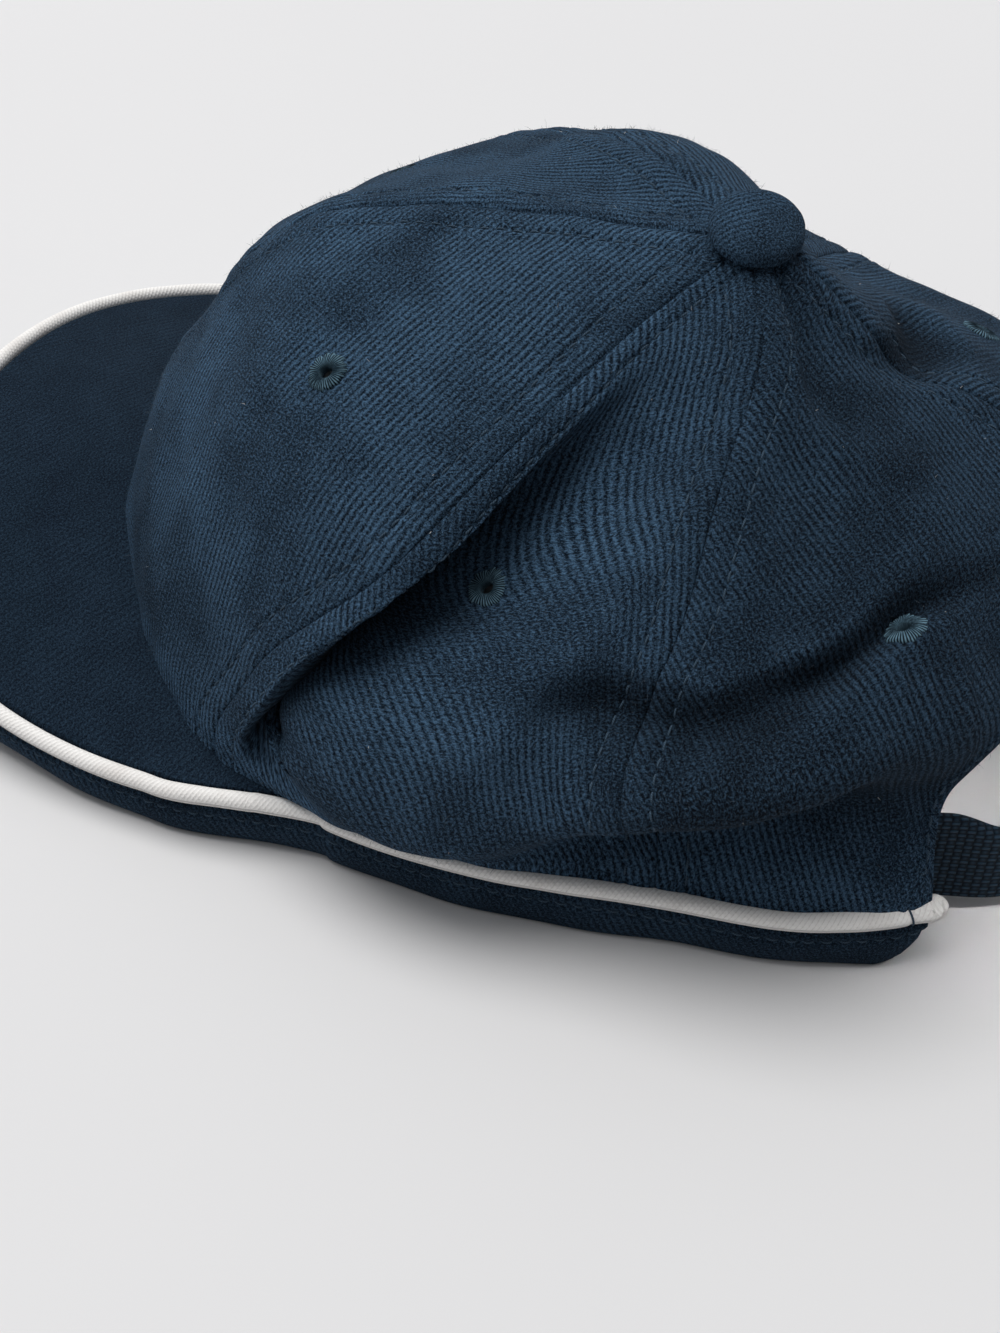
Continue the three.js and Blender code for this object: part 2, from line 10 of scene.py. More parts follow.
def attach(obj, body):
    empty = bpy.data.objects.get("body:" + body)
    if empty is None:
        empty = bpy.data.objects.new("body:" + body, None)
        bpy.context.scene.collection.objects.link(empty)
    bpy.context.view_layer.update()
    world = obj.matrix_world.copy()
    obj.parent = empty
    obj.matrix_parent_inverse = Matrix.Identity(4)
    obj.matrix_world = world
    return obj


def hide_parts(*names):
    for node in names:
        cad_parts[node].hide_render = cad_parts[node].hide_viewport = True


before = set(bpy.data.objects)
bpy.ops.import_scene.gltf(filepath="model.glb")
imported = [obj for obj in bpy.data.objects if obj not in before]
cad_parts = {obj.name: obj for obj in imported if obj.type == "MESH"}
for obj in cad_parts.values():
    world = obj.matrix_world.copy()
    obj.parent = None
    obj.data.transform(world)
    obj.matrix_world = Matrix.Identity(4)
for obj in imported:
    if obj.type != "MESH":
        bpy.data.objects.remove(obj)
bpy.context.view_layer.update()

MM = 0.001
TAU = 2 * math.pi
RANDOM = np.random.default_rng(11)

# ---- sizes in millimetres, shared with the solids ----
SHIFT = np.array([-1.9, 9.3, 0.0])
PANEL_WIDTH = 92
PANEL_LENGTH = 150
PANEL_TAPER = 0.94
CLOTH = 1.3
BUTTON = {"x": 0, "y": 33, "z": 95, "radius": 8.3, "height": 4.6, "seat": 5.2,
          "tilt": 0.2, "lean_x": 0.95, "lean_y": 0.33, "sunk": 0.3, "raised": 0.3}
ARCH = {"centre": 3, "half": 0.5, "top": 0.36, "round": 0.8}
EYELET = {"hole": 1.25, "outer": 3.5, "height": 0.55, "threads": 44, "girth": 3.0,
          "cut": 2.5, "steps": 6}
PIPING = {"radius": 1.75, "z": 10.9, "sides": 20, "wrap_at": 7.0, "knob": 0.3, "knob_at": 2.2}
PIPING_TURN = [(0.9, 0.6), (1.4, 2.4)]
BAND = {"top": 8.85, "inner": -1.7, "outer": 1.0, "bulge": 0.6, "cut": 6.5, "cut_over": 16,
        "row": 0.775}
PEAK = {"half_width": 82, "front": 103, "square": 2.7, "back_y": -33, "thickness": 3.2,
        "corner": 1.27, "in_corner": 1.24, "corner_y": -27}
PEAK_EDGE = {"low": 9, "arch": 15, "drop": 8.8, "corner_rise": 1.2, "corner_from": -70,
             "corner_over": 37}
STRAP = {"width": 21.2, "thickness": 1.5, "lift": 2.9, "turn": 5.5, "turn_gap": 0.4, "turn_start": 9}
# The foot of the strap, from inside the left end of the opening round to the right end.
STRAP_LINE = [(57.4, 78.5), (54.3, 88), (51, 98.5), (43, 108), (28, 113.5), (8, 113), (-14, 107.5),
              (-34, 97), (-46.5, 85)]
BUCKLE = {"at": 70, "width": 19, "bar": 2.4, "step": 5.5, "reach": 3.6}

# ---- sewing ----
SEW = {"row": 5.3, "pitch": 3.1, "stitch": 2.2, "thread": 0.21, "hem": 5.8, "seam_edge": 0.03,
       "rim_drop": 1.5, "groove": 0.35, "welt": 0.2, "row_depth": 0.32, "hole_depth": 0.2,
       "hem_depth": 0.2, "doubled": 0.45}

# Places along a panel from the rim (0) to the button (1) where the sections are given.
LEVELS = np.array([0, 0.10, 0.22, 0.33, 0.50, 0.68, 0.85, 1.0])

# One row for each section of the crown. u counts panels from the centre front round the wearer's
# left; out is millimetres outwards from the rim, z is height, sway leans the cloth to the rear.
SECTION_COLUMNS = ("u", "rim_x", "rim_y", "rim_z", "strip_out", "strip_z", "roll_out", "roll_z",
                   "dip_out", "dip_z", "side_out", "side_z", "shoulder_out", "shoulder_z",
                   "top_out", "top_z", "sway_low", "sway_high", "sway_top")
SECTIONS = np.array([
    [0.0, 0, -91.5, 24, -3, 34, -9, 47, -18, 59.5, -29, 73, -48, 86, -80, 92, 0, 0, 0],
    [0.5, 42.4, -76, 18, -3, 28, -9, 40, -16, 52, -27, 64, -48, 77, -80, 88, 0, 17, 0],
    [1.0, 72.5, -44.5, 13, -1, 21, -5, 30, -12, 41, -25, 54, -45, 69, -75, 83, 3, 16, 0],
    [1.3, 80, -20, 13, 4, 16, 9, 24, 4, 38, -16, 52, -42, 67, -70, 83, 0, 6, 0],
    [1.6, 82, 6, 13, 3, 16, 8, 23, 3, 37, -16, 53, -42, 69, -66, 85, 0, 2, 2],
    [2.0, 78, 42, 13, -8, 22, 6, 34, -6, 46, -22, 59, -41, 75, -60, 87, -7, 0, 5],
    [2.3, 74, 70, 13, -12, 29, 1, 46, -11, 56, -24, 62, -44, 72, -62, 85, 0, 0, 3],
    [2.5, 65, 87.5, 13, -9, 29, -6, 47, -15, 58, -27, 65, -46, 72, -66, 82, 0, 0, 0],
    [2.75, 40, 104, 13, -4, 28, -5, 43, -10, 54, -20, 63, -40, 71, -62, 81, 0, 3, 0],
    [3.0, 8, 112, 13, 0, 28, 1, 43, -3, 53, -12, 60, -30, 67, -55, 79, 0, 7, 0],
    [3.5, -46, 94, 13, 1, 28, 1, 43, -4, 51, -15, 58, -34, 68, -55, 80, 0, 3, 0],
    [4.0, -76, 42, 13, 2, 28, 2, 43, -5, 52, -19, 60, -38, 70, -55, 84, 0, 0, 0],
    [4.5, -82, -2, 13, 2, 28, 3, 44, -2, 56, -13, 68, -33, 82, -57, 91, 0, 0, 0],
    [5.0, -73, -46, 13, 1, 28, 1, 44, -4, 55, -15, 67, -38, 82, -72, 94, 0, 0, 0],
    [5.5, -42.4, -76, 18, 0, 30, -4, 43, -10, 56, -21, 69, -44, 82, -80, 92, 0, 0, 0],
])

# One row for each fold: it runs from (u0, v0) to (u1, v1). Beyond the lip the cloth drops by
# depth over the wall's length of cloth, is drawn back under by tuck, and recovers over run. It
# comes up over the start share of its length and fades over the end share; shade is how much
# painted shade darkens the colour deep inside it.
FOLD_COLUMNS = ("u0", "v0", "u1", "v1", "lip", "wall", "run", "depth", "tuck", "start", "end",
                "shade")
FOLDS = {
    "overhang": (1, 0.04, 1, 0.88, 7.5, 7.5, 30, 13.5, 15, 0.2, 0.38, 0.93),
    "hollow": (2.75, 0.86, 3.85, 0.7, -7, 7, 9, 4, 0, 0.4, 0.4, 0.6),
    "valley_front": (1.62, 0.46, 2.25, 0.27, -8, 8, 9, 3.8, 0, 0.4, 0.4, 0.5),
    "valley_rear": (2.0, 0.28, 2.75, 0.51, -8, 8, 9, 4.2, 0, 0.4, 0.4, 0.5),
}

# Small wrinkles: a soft ridge (or a groove, where height is below 0) from (u0, v0) to (u1, v1).
WRINKLE_COLUMNS = ("u0", "v0", "u1", "v1", "width", "height")
WRINKLES = {
    "under_lip": (1.14, 0.165, 1.42, 0.285, 2.2, -1.0),
    "under_lip_ridge": (1.16, 0.145, 1.46, 0.262, 2.4, 0.8),
    "above_valley": (2.02, 0.52, 2.3, 0.38, 3.0, 0.7),
    "rear_ridge": (2.3, 0.8, 2.75, 0.62, 3.5, 0.9),
}

# Eyelets: where each sits on the crown (u, v) and how far its ring stands off the cloth (lift).
EYELET_COLUMNS = ("u", "v", "lift")
EYELETS = {
    "front_left": (0.43, 0.655, 0.1),
    "mid_left": (1.53, 0.595, 0.1),
    "rear_left": (2.48, 0.4, 0.3),
    "rear_right": (3.5, 0.6, 0.1),
    "mid_right": (4.5, 0.6, 0.1),
    "front_right": (5.5, 0.62, 0.1),
}
PANELS = ("front_left", "mid_left", "rear_left", "rear_right", "mid_right", "front_right")
# How far the twill lines of each panel lean from the panel's middle, in degrees.
GRAIN = {"front_left": 27, "mid_left": 26, "rear_left": 10,
         "rear_right": 24, "mid_right": 26, "front_right": 26}
PANEL_ROWS = 200
# Spacing of the cloth's columns in millimetres at the rim, up to each place across the panel.
FINE, MEDIUM, COARSE = 0.36, 0.55, 0.85
PLAIN_COLUMNS = [(8, FINE), (84, COARSE), (92, FINE)]
FOLDED_COLUMNS = [(8, FINE), (34, MEDIUM), (84, COARSE), (92, FINE)]
ARCHED_COLUMNS = [(8, FINE), (40, COARSE), (52, FINE), (84, COARSE), (92, FINE)]
COLUMN_SPACING = {
    "front_left": PLAIN_COLUMNS,
    "mid_left": FOLDED_COLUMNS,
    "rear_left": ARCHED_COLUMNS,
    "rear_right": ARCHED_COLUMNS,
    "mid_right": PLAIN_COLUMNS,
    "front_right": PLAIN_COLUMNS,
}


# ---- curves and tables ----
def smooth(x):
    t = np.clip(x, 0, 1)
    return t * t * (3 - 2 * t)


def bell(x, centre, width):
    return np.exp(-((x - centre) / width) ** 2)


def unit(vectors):
    return vectors / np.maximum(np.linalg.norm(vectors, axis=-1, keepdims=True), 1e-12)


def running_length(line):
    """Length along a line of points, at each of its points."""
    return np.concatenate([[0], np.cumsum(np.linalg.norm(np.diff(line, axis=0), axis=1))])


def slopes(xs, ys):
    """Slope of the smooth curve at each row of a table; ys runs along its first axis."""
    shape = (-1,) + (1,) * (ys.ndim - 1)
    span = np.diff(xs).reshape(shape)
    rise = np.diff(ys, axis=0) / span
    inner = (rise[:-1] * span[1:] + rise[1:] * span[:-1]) / (span[:-1] + span[1:])
    return np.concatenate([rise[:1], inner, rise[-1:]])


def weights(xs, x):
    """For each x, the row before it, and the weights of both rows and both slopes."""
    i = np.clip(np.searchsorted(xs, x, side="right") - 1, 0, len(xs) - 2)
    w = xs[i + 1] - xs[i]
    t = (x - xs[i]) / w
    return i, 2 * t**3 - 3 * t**2 + 1, (t**3 - 2 * t**2 + t) * w, 3 * t**2 - 2 * t**3, (t**3 - t**2) * w


WRAPPED = np.concatenate([SECTIONS[-1:], SECTIONS, SECTIONS[:2]])
WRAPPED[0, 0] -= 6
WRAPPED[-2:, 0] += 6
WRAPPED_SLOPES = slopes(WRAPPED[:, 0], WRAPPED)


def section(u):
    i, a, b, c, d = weights(WRAPPED[:, 0], np.mod(u, 6))
    rows = (a[:, None] * WRAPPED[i] + b[:, None] * WRAPPED_SLOPES[i]
            + c[:, None] * WRAPPED[i + 1] + d[:, None] * WRAPPED_SLOPES[i + 1])
    return {name: rows[:, k] for k, name in enumerate(SECTION_COLUMNS)}


def smooth_table(xs, table, x):
    """Smooth rows between the rows of a table."""
    i, a, b, c, d = (w.reshape((-1,) + (1,) * (table.ndim - 1)) for w in weights(xs, x))
    i = i.ravel()
    slope = slopes(xs, table)
    return a * table[i] + b * slope[i] + c * table[i + 1] + d * slope[i + 1]


def up_panel(values, v):
    """Smooth curve up the panel through one value for each level."""
    table = np.stack([np.broadcast_to(x, v.shape) for x in values])
    slope = slopes(LEVELS, table)
    i, a, b, c, d = weights(LEVELS, v)
    n = np.arange(len(v))
    return a * table[i, n] + b * slope[i, n] + c * table[i + 1, n] + d * slope[i + 1, n]


def smooth_line(points, per_span=24):
    """Even curve through a list of plane points, as a dense line and its running length."""
    p = np.array(points, float)
    padded = np.concatenate([p[:1], p, p[-1:]])
    t = np.arange(per_span)[:, None] / per_span
    spans = []
    for i in range(len(p) - 1):
        a, b, c, d = padded[i:i + 4]
        first = (c - a) / 2
        second = (d - b) / 2
        spans.append(b + first * t + (3 * (c - b) - 2 * first - second) * t**2
                     + (2 * (b - c) + first + second) * t**3)
    line = np.concatenate(spans + [p[-1:]])
    return line, running_length(line)


def along_line(line, length, at):
    return np.stack([np.interp(at, length, line[:, k]) for k in range(line.shape[1])], axis=1)


# ---- the crown's surface ----
def plain_crown(u, v):
    s = section(u)
    dx = s["rim_x"] - BUTTON["x"]
    dy = s["rim_y"] - BUTTON["y"]
    reach = np.hypot(dx, dy)
    ox = dx / reach
    oy = dy / reach
    names = ("strip", "roll", "dip", "side", "shoulder", "top")
    outs = [0 * u] + [s[n + "_out"] for n in names] + [BUTTON["seat"] - reach]
    heights = [s["rim_z"]] + [s[n + "_z"] for n in names] + [BUTTON["z"] - 1.2 + 0 * u]
    out = up_panel(outs, v)
    z = up_panel(heights, v)
    sway = (s["sway_low"] * bell(v, 0.28, 0.16) + s["sway_high"] * bell(v, 0.6, 0.25)
            + s["sway_top"] * bell(v, 0.8, 0.13))
    x = s["rim_x"] + out * ox - sway * oy
    y = s["rim_y"] + out * oy + sway * ox
    return np.stack([x, y, z], axis=1)


def fold_width(v):
    return np.hypot(PANEL_WIDTH * (1 - PANEL_TAPER * v), 24)


def along_fold(u, v, f):
    """Share of a fold's length and millimetres across it, at each place on the crown."""
    width = fold_width(v)
    fx = (f["u1"] - f["u0"]) * width
    fy = (f["v1"] - f["v0"]) * PANEL_LENGTH
    length = np.hypot(fx, fy)
    px = (np.mod(u, 6) - f["u0"]) * width
    py = (v - f["v0"]) * PANEL_LENGTH
    return (px * fx + py * fy) / length**2, (px * fy - py * fx) / length


def folds_at(u, v):
    """Each fold with its strength and the millimetres across it, at each place on the crown."""
    for row in FOLDS.values():
        f = dict(zip(FOLD_COLUMNS, row))
        t, across = along_fold(u, v, f)
        yield f, smooth(t / f["start"]) * smooth((1 - t) / f["end"]), across


def crown(u, v):
    step = 0.001
    p = plain_crown(u, v)
    along = unit(plain_crown(u + step, v) - plain_crown(u - step, v))
    up = plain_crown(u, np.minimum(1, v + step)) - plain_crown(u, np.maximum(0, v - step))
    out = unit(np.cross(along, up))
    for f, strength, across in folds_at(u, v):
        drop = smooth((across - f["lip"]) / f["wall"])
        back = 1 - smooth((across - f["lip"] - f["wall"]) / f["run"])
        move = (strength * drop * back)[:, None]
        p = p - move * (f["depth"] * out + f["tuck"] * along)
    return p


def crown_normal(u, v):
    du = 0.9 / fold_width(v)
    dv = 0.9 / PANEL_LENGTH
    along = crown(u + du, v) - crown(u - du, v)
    up = crown(u, np.minimum(1, v + dv)) - crown(u, np.maximum(0, v - dv))
    return unit(np.cross(along, up))


def arch_bottom(u):
    t = np.abs(u - ARCH["centre"]) / ARCH["half"]
    return ARCH["top"] * np.clip(1 - t * t, 0, 1) ** ARCH["round"]


# Painted shade: how light the colour is drawn on top, and how much darker it is drawn at each other place.
PAINTED_SHADE = {"top": 1.17, "rear": 0.55, "low": 0.34, "far_side": 0.18, "under_roll": 0.1}


def painted_shade_tone(u, v, points):
    """Painted shade in the cloth's colour: lighter on top, darker at the rear, low down, on the far side,
    inside the folds and on the strip under the rear roll.
    """
    x, y, z = points.T
    rear = smooth((y - 14) / 46) * smooth((x + 40) / 60) * smooth((z - 22) / 14)
    tone = PAINTED_SHADE["top"] - PAINTED_SHADE["rear"] * rear
    tone -= PAINTED_SHADE["low"] * smooth((58 - z) / 38) * smooth((z - 16) / 12)
    tone -= PAINTED_SHADE["far_side"] * smooth((-3 - x) / 12)
    # Painted shade deep in each fold's crease, under its lip.
    for f, strength, across in folds_at(u, v):
        deep = smooth((across - f["lip"]) / (0.6 * f["wall"]))
        deep *= 1 - smooth((across - f["lip"] - 0.9 * f["wall"]) / (1.3 * f["wall"]))
        tone *= 1 - f["shade"] * strength * deep
    # Painted shadow on the low strip under the rear roll.
    under_roll = smooth((0.18 - v) / 0.04) * smooth((u - 1.65) / 0.3) * smooth((2.6 - u) / 0.1)
    return tone * (1 - PAINTED_SHADE["under_roll"] * under_roll)


# ---- relief of the cloth ----
RUMPLE_WAVES = [(unit(RANDOM.normal(size=3)) * TAU / RANDOM.uniform(9, 34), RANDOM.uniform(0, TAU))
                for _ in range(14)]


def rumple(points):
    """Slight unevenness of soft cloth, in millimetres."""
    total = np.zeros(points.shape[:-1])
    for wave, phase in RUMPLE_WAVES:
        total += np.sin(points @ wave + phase) / np.linalg.norm(wave)
    return 0.035 * total


def seam_relief(d, t, phase):
    """Height of the sewn cloth at d millimetres from a seam and t millimetres along it."""
    groove = -SEW["groove"] * np.exp(-(d / 0.4) ** 2)
    welt = SEW["welt"] * bell(d, 2.4, 1.6)
    holes = 0.5 + 0.5 * np.cos(TAU * t / SEW["pitch"])
    row = -(SEW["row_depth"] + SEW["hole_depth"] * holes) * bell(d, SEW["row"], 0.5)
    allowance = 0.2 * (1 - smooth((d - 6.0) / 2.0))
    pucker = 0.11 * np.sin(TAU * t / 6.7 + 2.2 * np.sin(t / 15 + phase)) * bell(d, 4.2, 3.4)
    return groove + welt + row + allowance + pucker


def hem_relief(d, t):
    """Height of the turned hem at d millimetres from the opening's edge."""
    doubled = SEW["doubled"] * (1 - smooth((d - 6.6) / 1.4)) * smooth(d / 0.8 + 0.3)
    holes = 0.5 + 0.5 * np.cos(TAU * t / SEW["pitch"])
    row = -(SEW["hem_depth"] + SEW["hole_depth"] * holes) * bell(d, SEW["hem"], 0.6)
    return doubled + row


def wrinkle_relief(u, v):
    """Height of the small wrinkles at each place on the crown."""
    total = np.zeros_like(u)
    for row in WRINKLES.values():
        w = dict(zip(WRINKLE_COLUMNS, row))
        t, across = along_fold(u, v, w)
        total = total + w["height"] * np.sin(math.pi * np.clip(t, 0, 1)) * bell(across, 0, w["width"])
    return total


# ---- meshes ----
def mesh_piece(name, points, faces, material, uv=None):
    """A piece from points in millimetres, riding on the part."""
    mesh = bpy.data.meshes.new(name)
    mesh.from_pydata((np.asarray(points) + SHIFT) * MM, [], faces)
    mesh.polygons.foreach_set("use_smooth", [True] * len(mesh.polygons))
    if uv is not None:
        layer = mesh.uv_layers.new(name="UVMap")
        corners = np.empty(len(mesh.loops), int)
        mesh.loops.foreach_get("vertex_index", corners)
        layer.uv.foreach_set("vector", (np.asarray(uv)[corners] / 100).ravel())
    mesh.materials.append(material)
    mesh.validate()
    piece = bpy.data.objects.new(name, mesh)
    bpy.context.scene.collection.objects.link(piece)
    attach(piece, "root")
    return piece


def grid_faces(rows, cols, first=0, flip=False):
    """Quads of a grid of points kept row by row."""
    i, j = np.meshgrid(np.arange(rows - 1), np.arange(cols - 1), indexing="ij")
    a = first + i * cols + j
    quads = np.stack([a, a + 1, a + cols + 1, a + cols], axis=-1).reshape(-1, 4)
    return quads[:, ::-1] if flip else quads


def loop_faces(loops, count, ring):
    """Quads round a bar made of closed loops of count points each."""
    i, j = np.meshgrid(np.arange(loops if ring else loops - 1), np.arange(count), indexing="ij")
    k = (j + 1) % count
    n = (i + 1) % loops
    quads = np.stack([i * count + j, n * count + j, n * count + k, i * count + k], axis=-1)
    return quads.reshape(-1, 4)


def bar_piece(name, loops, material, uv_along=None, ring=False):
    """A bar from loops of points; its texture runs along and round it in millimetres."""
    loops = np.asarray(loops)
    n, count = loops.shape[:2]
    if uv_along is None:
        uv_along = running_length(loops.mean(axis=1))
    sides = np.linalg.norm(np.roll(loops, -1, axis=1) - loops, axis=2)
    around = np.concatenate([np.zeros((n, 1)), np.cumsum(sides, axis=1)[:, :-1]], axis=1)
    uv = np.stack([np.repeat(uv_along[:, None], count, axis=1), around], axis=2).reshape(-1, 2)
    faces = loop_faces(n, count, ring).tolist()
    if not ring:
        faces.append(list(range(count)))
        faces.append(list(range(n * count - 1, (n - 1) * count - 1, -1)))
    return mesh_piece(name, loops.reshape(-1, 3), faces, material, uv)


def grid_normals(grid):
    across = np.gradient(grid, axis=1)
    up = np.gradient(grid, axis=0)
    return unit(np.cross(across, up))


def edge_strip(outer, inner, skip):
    """Triangles between a fine edge and a coarse one that has every skip-th of its points."""
    faces = []
    for j in range(len(inner) - 1):
        last = min((j + 1) * skip, len(outer) - 1)
        for i in range(j * skip, last):
            faces.append((outer[i], inner[j], outer[i + 1]))
        faces.append((inner[j], inner[j + 1], outer[last]))
    return faces


INNER_SKIP = 3


def cloth_shell(outer, inner, cut=None):
    """Points and faces of a sheet: a fine outer grid, a coarse inner one, joined round the edge."""
    rows, cols = outer.shape[:2]
    ri = sorted(set(range(0, rows, INNER_SKIP)) | {rows - 1})
    ci = sorted(set(range(0, cols, INNER_SKIP)) | {cols - 1})
    coarse = inner[np.ix_(ri, ci)]
    points = np.concatenate([outer.reshape(-1, 3), coarse.reshape(-1, 3)])
    first = rows * cols
    top = grid_faces(rows, cols)
    low = grid_faces(len(ri), len(ci), first, flip=True)
    if cut is not None:
        centre, radius = cut
        quads = np.concatenate([top, low])
        away = np.linalg.norm(points[quads].mean(axis=1) - centre, axis=1) > radius
        faces = quads[away].tolist()
    else:
        faces = np.concatenate([top, low]).tolist()
    index = np.arange(first).reshape(rows, cols)
    under = first + np.arange(len(ri) * len(ci)).reshape(len(ri), len(ci))
    edges = ((index[0], under[0], False), (index[-1], under[-1], True),
             (index[:, 0], under[:, 0], True), (index[:, -1], under[:, -1], False))
    for fine, rough, turned in edges:
        for a, b, c in edge_strip(fine.tolist(), rough.tolist(), INNER_SKIP):
            faces.append((a, c, b) if turned else (a, b, c))
    return points, faces, ri, ci


# ---- materials ----
class Finish:
    """A material under construction, with short calls for the nodes it needs."""

    def __init__(self, name):
        self.material = bpy.data.materials.new(name)
        self.material.use_nodes = True
        self.tree = self.material.node_tree
        self.tree.nodes.clear()
        self.shader = self.tree.nodes.new("ShaderNodeBsdfPrincipled")
        output = self.tree.nodes.new("ShaderNodeOutputMaterial")
        self.tree.links.new(self.shader.outputs[0], output.inputs["Surface"])

    def put(self, socket, value):
        if isinstance(value, bpy.types.NodeSocket):
            self.tree.links.new(value, socket)
        elif value is not None:
            socket.default_value = value

    def math(self, operation, a, b=None, c=None):
        node = self.tree.nodes.new("ShaderNodeMath")
        node.operation = operation
        for socket, value in zip(node.inputs, (a, b, c)):
            self.put(socket, value)
        return node.outputs[0]

    def add(self, a, b):
        return self.math("ADD", a, b)

    def times(self, a, b):
        return self.math("MULTIPLY", a, b)

    def cloth_place(self):
        """Millimetres across and along the cloth."""
        node = self.tree.nodes.new("ShaderNodeUVMap")
        node.uv_map = "UVMap"
        split = self.tree.nodes.new("ShaderNodeSeparateXYZ")
        self.put(split.inputs[0], node.outputs[0])
        return self.times(split.outputs[0], 100.0), self.times(split.outputs[1], 100.0)

    def turned(self, x, y, degrees, pitch):
        """Coordinate across lines that lean by degrees from the y axis, one unit for each line."""
        a = math.radians(degrees)
        return self.add(self.times(x, math.cos(a) / pitch), self.times(y, math.sin(a) / pitch))

    def vector(self, x, y, z=0.0):
        node = self.tree.nodes.new("ShaderNodeCombineXYZ")
        for socket, value in zip(node.inputs, (x, y, z)):
            self.put(socket, value)
        return node.outputs[0]

    def noise(self, vector, scale, detail=2.0, roughness=0.5):
        node = self.tree.nodes.new("ShaderNodeTexNoise")
        self.put(node.inputs["Vector"], vector)
        node.inputs["Scale"].default_value = scale
        node.inputs["Detail"].default_value = detail
        node.inputs["Roughness"].default_value = roughness
        return node.outputs["Fac"]

    def wave(self, phase):
        """Smooth wave from 0 to 1, one for each unit of phase."""
        turns = self.math("COSINE", self.times(phase, TAU))
        return self.math("MULTIPLY_ADD", turns, 0.5, 0.5)

    def between(self, value, low, high):
        node = self.tree.nodes.new("ShaderNodeMapRange")
        node.interpolation_type = "SMOOTHSTEP"
        self.put(node.inputs["Value"], value)
        node.inputs["From Min"].default_value = low
        node.inputs["From Max"].default_value = high
        return node.outputs["Result"]

    def blend(self, share, a, b):
        node = self.tree.nodes.new("ShaderNodeMix")
        node.data_type = "RGBA"
        self.put(node.inputs[0], share)
        for socket, value in ((node.inputs[6], a), (node.inputs[7], b)):
            self.put(socket, (*value, 1.0) if isinstance(value, tuple) else value)
        return node.outputs[2]

    def done(self, colour, height, depth, roughness=0.9, sheen=0.0, sheen_tint=(1, 1, 1),
             specular=0.3, metallic=0.0):
        self.put(self.shader.inputs["Base Color"], colour)
        self.put(self.shader.inputs["Roughness"], roughness)
        self.put(self.shader.inputs["Metallic"], metallic)
        self.put(self.shader.inputs["Sheen Weight"], sheen)
        self.put(self.shader.inputs["Sheen Roughness"], 0.45)
        self.put(self.shader.inputs["Sheen Tint"], (*sheen_tint, 1.0))
        self.put(self.shader.inputs["Specular IOR Level"], specular)
        bump = self.tree.nodes.new("ShaderNodeBump")
        bump.inputs["Strength"].default_value = 1.0
        bump.inputs["Distance"].default_value = depth * MM
        self.put(bump.inputs["Height"], height)
        self.put(self.shader.inputs["Normal"], bump.outputs[0])
        return self.material


NAVY_DEEP = (0.0022, 0.0058, 0.0125)
NAVY_LIT = (0.079, 0.160, 0.268)
FUZZ = (0.10, 0.16, 0.22)
SHEEN_TINT = (0.5, 0.7, 1.0)


def twill(name, lean, pitch, contrast=1.0, depth=0.35, shade=1.0, with_painted_shade=False):
    """Brushed cotton twill: rope-like ribs that lean by lean degrees, under a short nap."""
    f = Finish(name)
    x, y = f.cloth_place()
    place = f.vector(x, y)
    wander = f.times(f.add(f.noise(place, 0.12, 2.0), -0.5), 0.5)
    across = f.add(f.turned(x, y, lean, pitch), wander)
    along = f.turned(x, y, lean + 90, pitch)
    rib = f.math("POWER", f.wave(across), 0.9)
    yarns = f.add(f.noise(f.vector(f.times(across, 2.4), f.times(along, 1.1)), 1.0, 2.0, 0.7), -0.5)
    worn = f.between(f.noise(place, 0.032, 2.0), 0.36, 0.6)
    clear = f.math("MULTIPLY_ADD", worn, 0.54 * contrast, 0.18 * contrast)
    nap = f.add(f.noise(place, 2.3, 2.0, 0.8), -0.5)
    mottle = f.add(f.noise(place, 0.15, 2.0, 0.5), -0.5)
    rope = f.times(f.add(rib, f.times(yarns, 2.0)), clear)
    height = f.add(rope, f.times(nap, 2.2))
    level = f.add(f.add(f.times(rope, 0.62), f.times(nap, 2.6)), f.times(mottle, 0.3))
    tone = f.between(f.add(level, 0.42 - 0.18 * contrast), 0.0, 1.15)
    colour = f.blend(tone, NAVY_DEEP, tuple(shade * c for c in NAVY_LIT))
    fuzz = f.between(f.noise(place, 3.4, 3.0, 0.85), 0.5, 0.8)
    colour = f.blend(f.times(fuzz, 0.75), colour, tuple(shade * c for c in FUZZ))
    # The crown's colour is scaled by the painted shade kept on its mesh: lighter on top, darker at the
    # rear, low down, in the folds and under the rear roll.
    if with_painted_shade:
        painted_shade_node = f.tree.nodes.new("ShaderNodeAttribute")
        painted_shade_node.attribute_name = "tone"
        scaled = f.tree.nodes.new("ShaderNodeVectorMath")
        scaled.operation = "SCALE"
        f.put(scaled.inputs[0], colour)
        f.put(scaled.inputs["Scale"], painted_shade_node.outputs["Fac"])
        colour = scaled.outputs[0]
    return f.done(colour, height, depth, 0.95, 0.02, SHEEN_TINT, 0.08)


def piping_cord(name):
    """White cord covering: fine woven cells in slanting rows."""
    f = Finish(name)
    x, y = f.cloth_place()
    place = f.vector(x, y)
    first = f.wave(f.turned(x, y, 32, 0.78))
    second = f.wave(f.turned(x, y, -48, 0.86))
    cells = f.times(f.math("POWER", first, 0.7), f.math("MULTIPLY_ADD", second, 0.6, 0.4))
    fray = f.noise(place, 2.2, 3.0)
    height = f.add(f.times(cells, 0.7), f.times(fray, 0.5))
    grey = f.between(f.add(cells, f.times(fray, 0.5)), -0.05, 0.55)
    soft = f.blend(grey, (0.68, 0.65, 0.62), (0.97, 0.95, 0.925))
    dusty = f.between(f.noise(place, 0.12, 3.0), 0.45, 0.75)
    colour = f.blend(f.times(dusty, 0.3), soft, (0.66, 0.60, 0.56))
    return f.done(colour, height, 0.12, 0.88, 0.15, (1, 1, 1), 0.2)


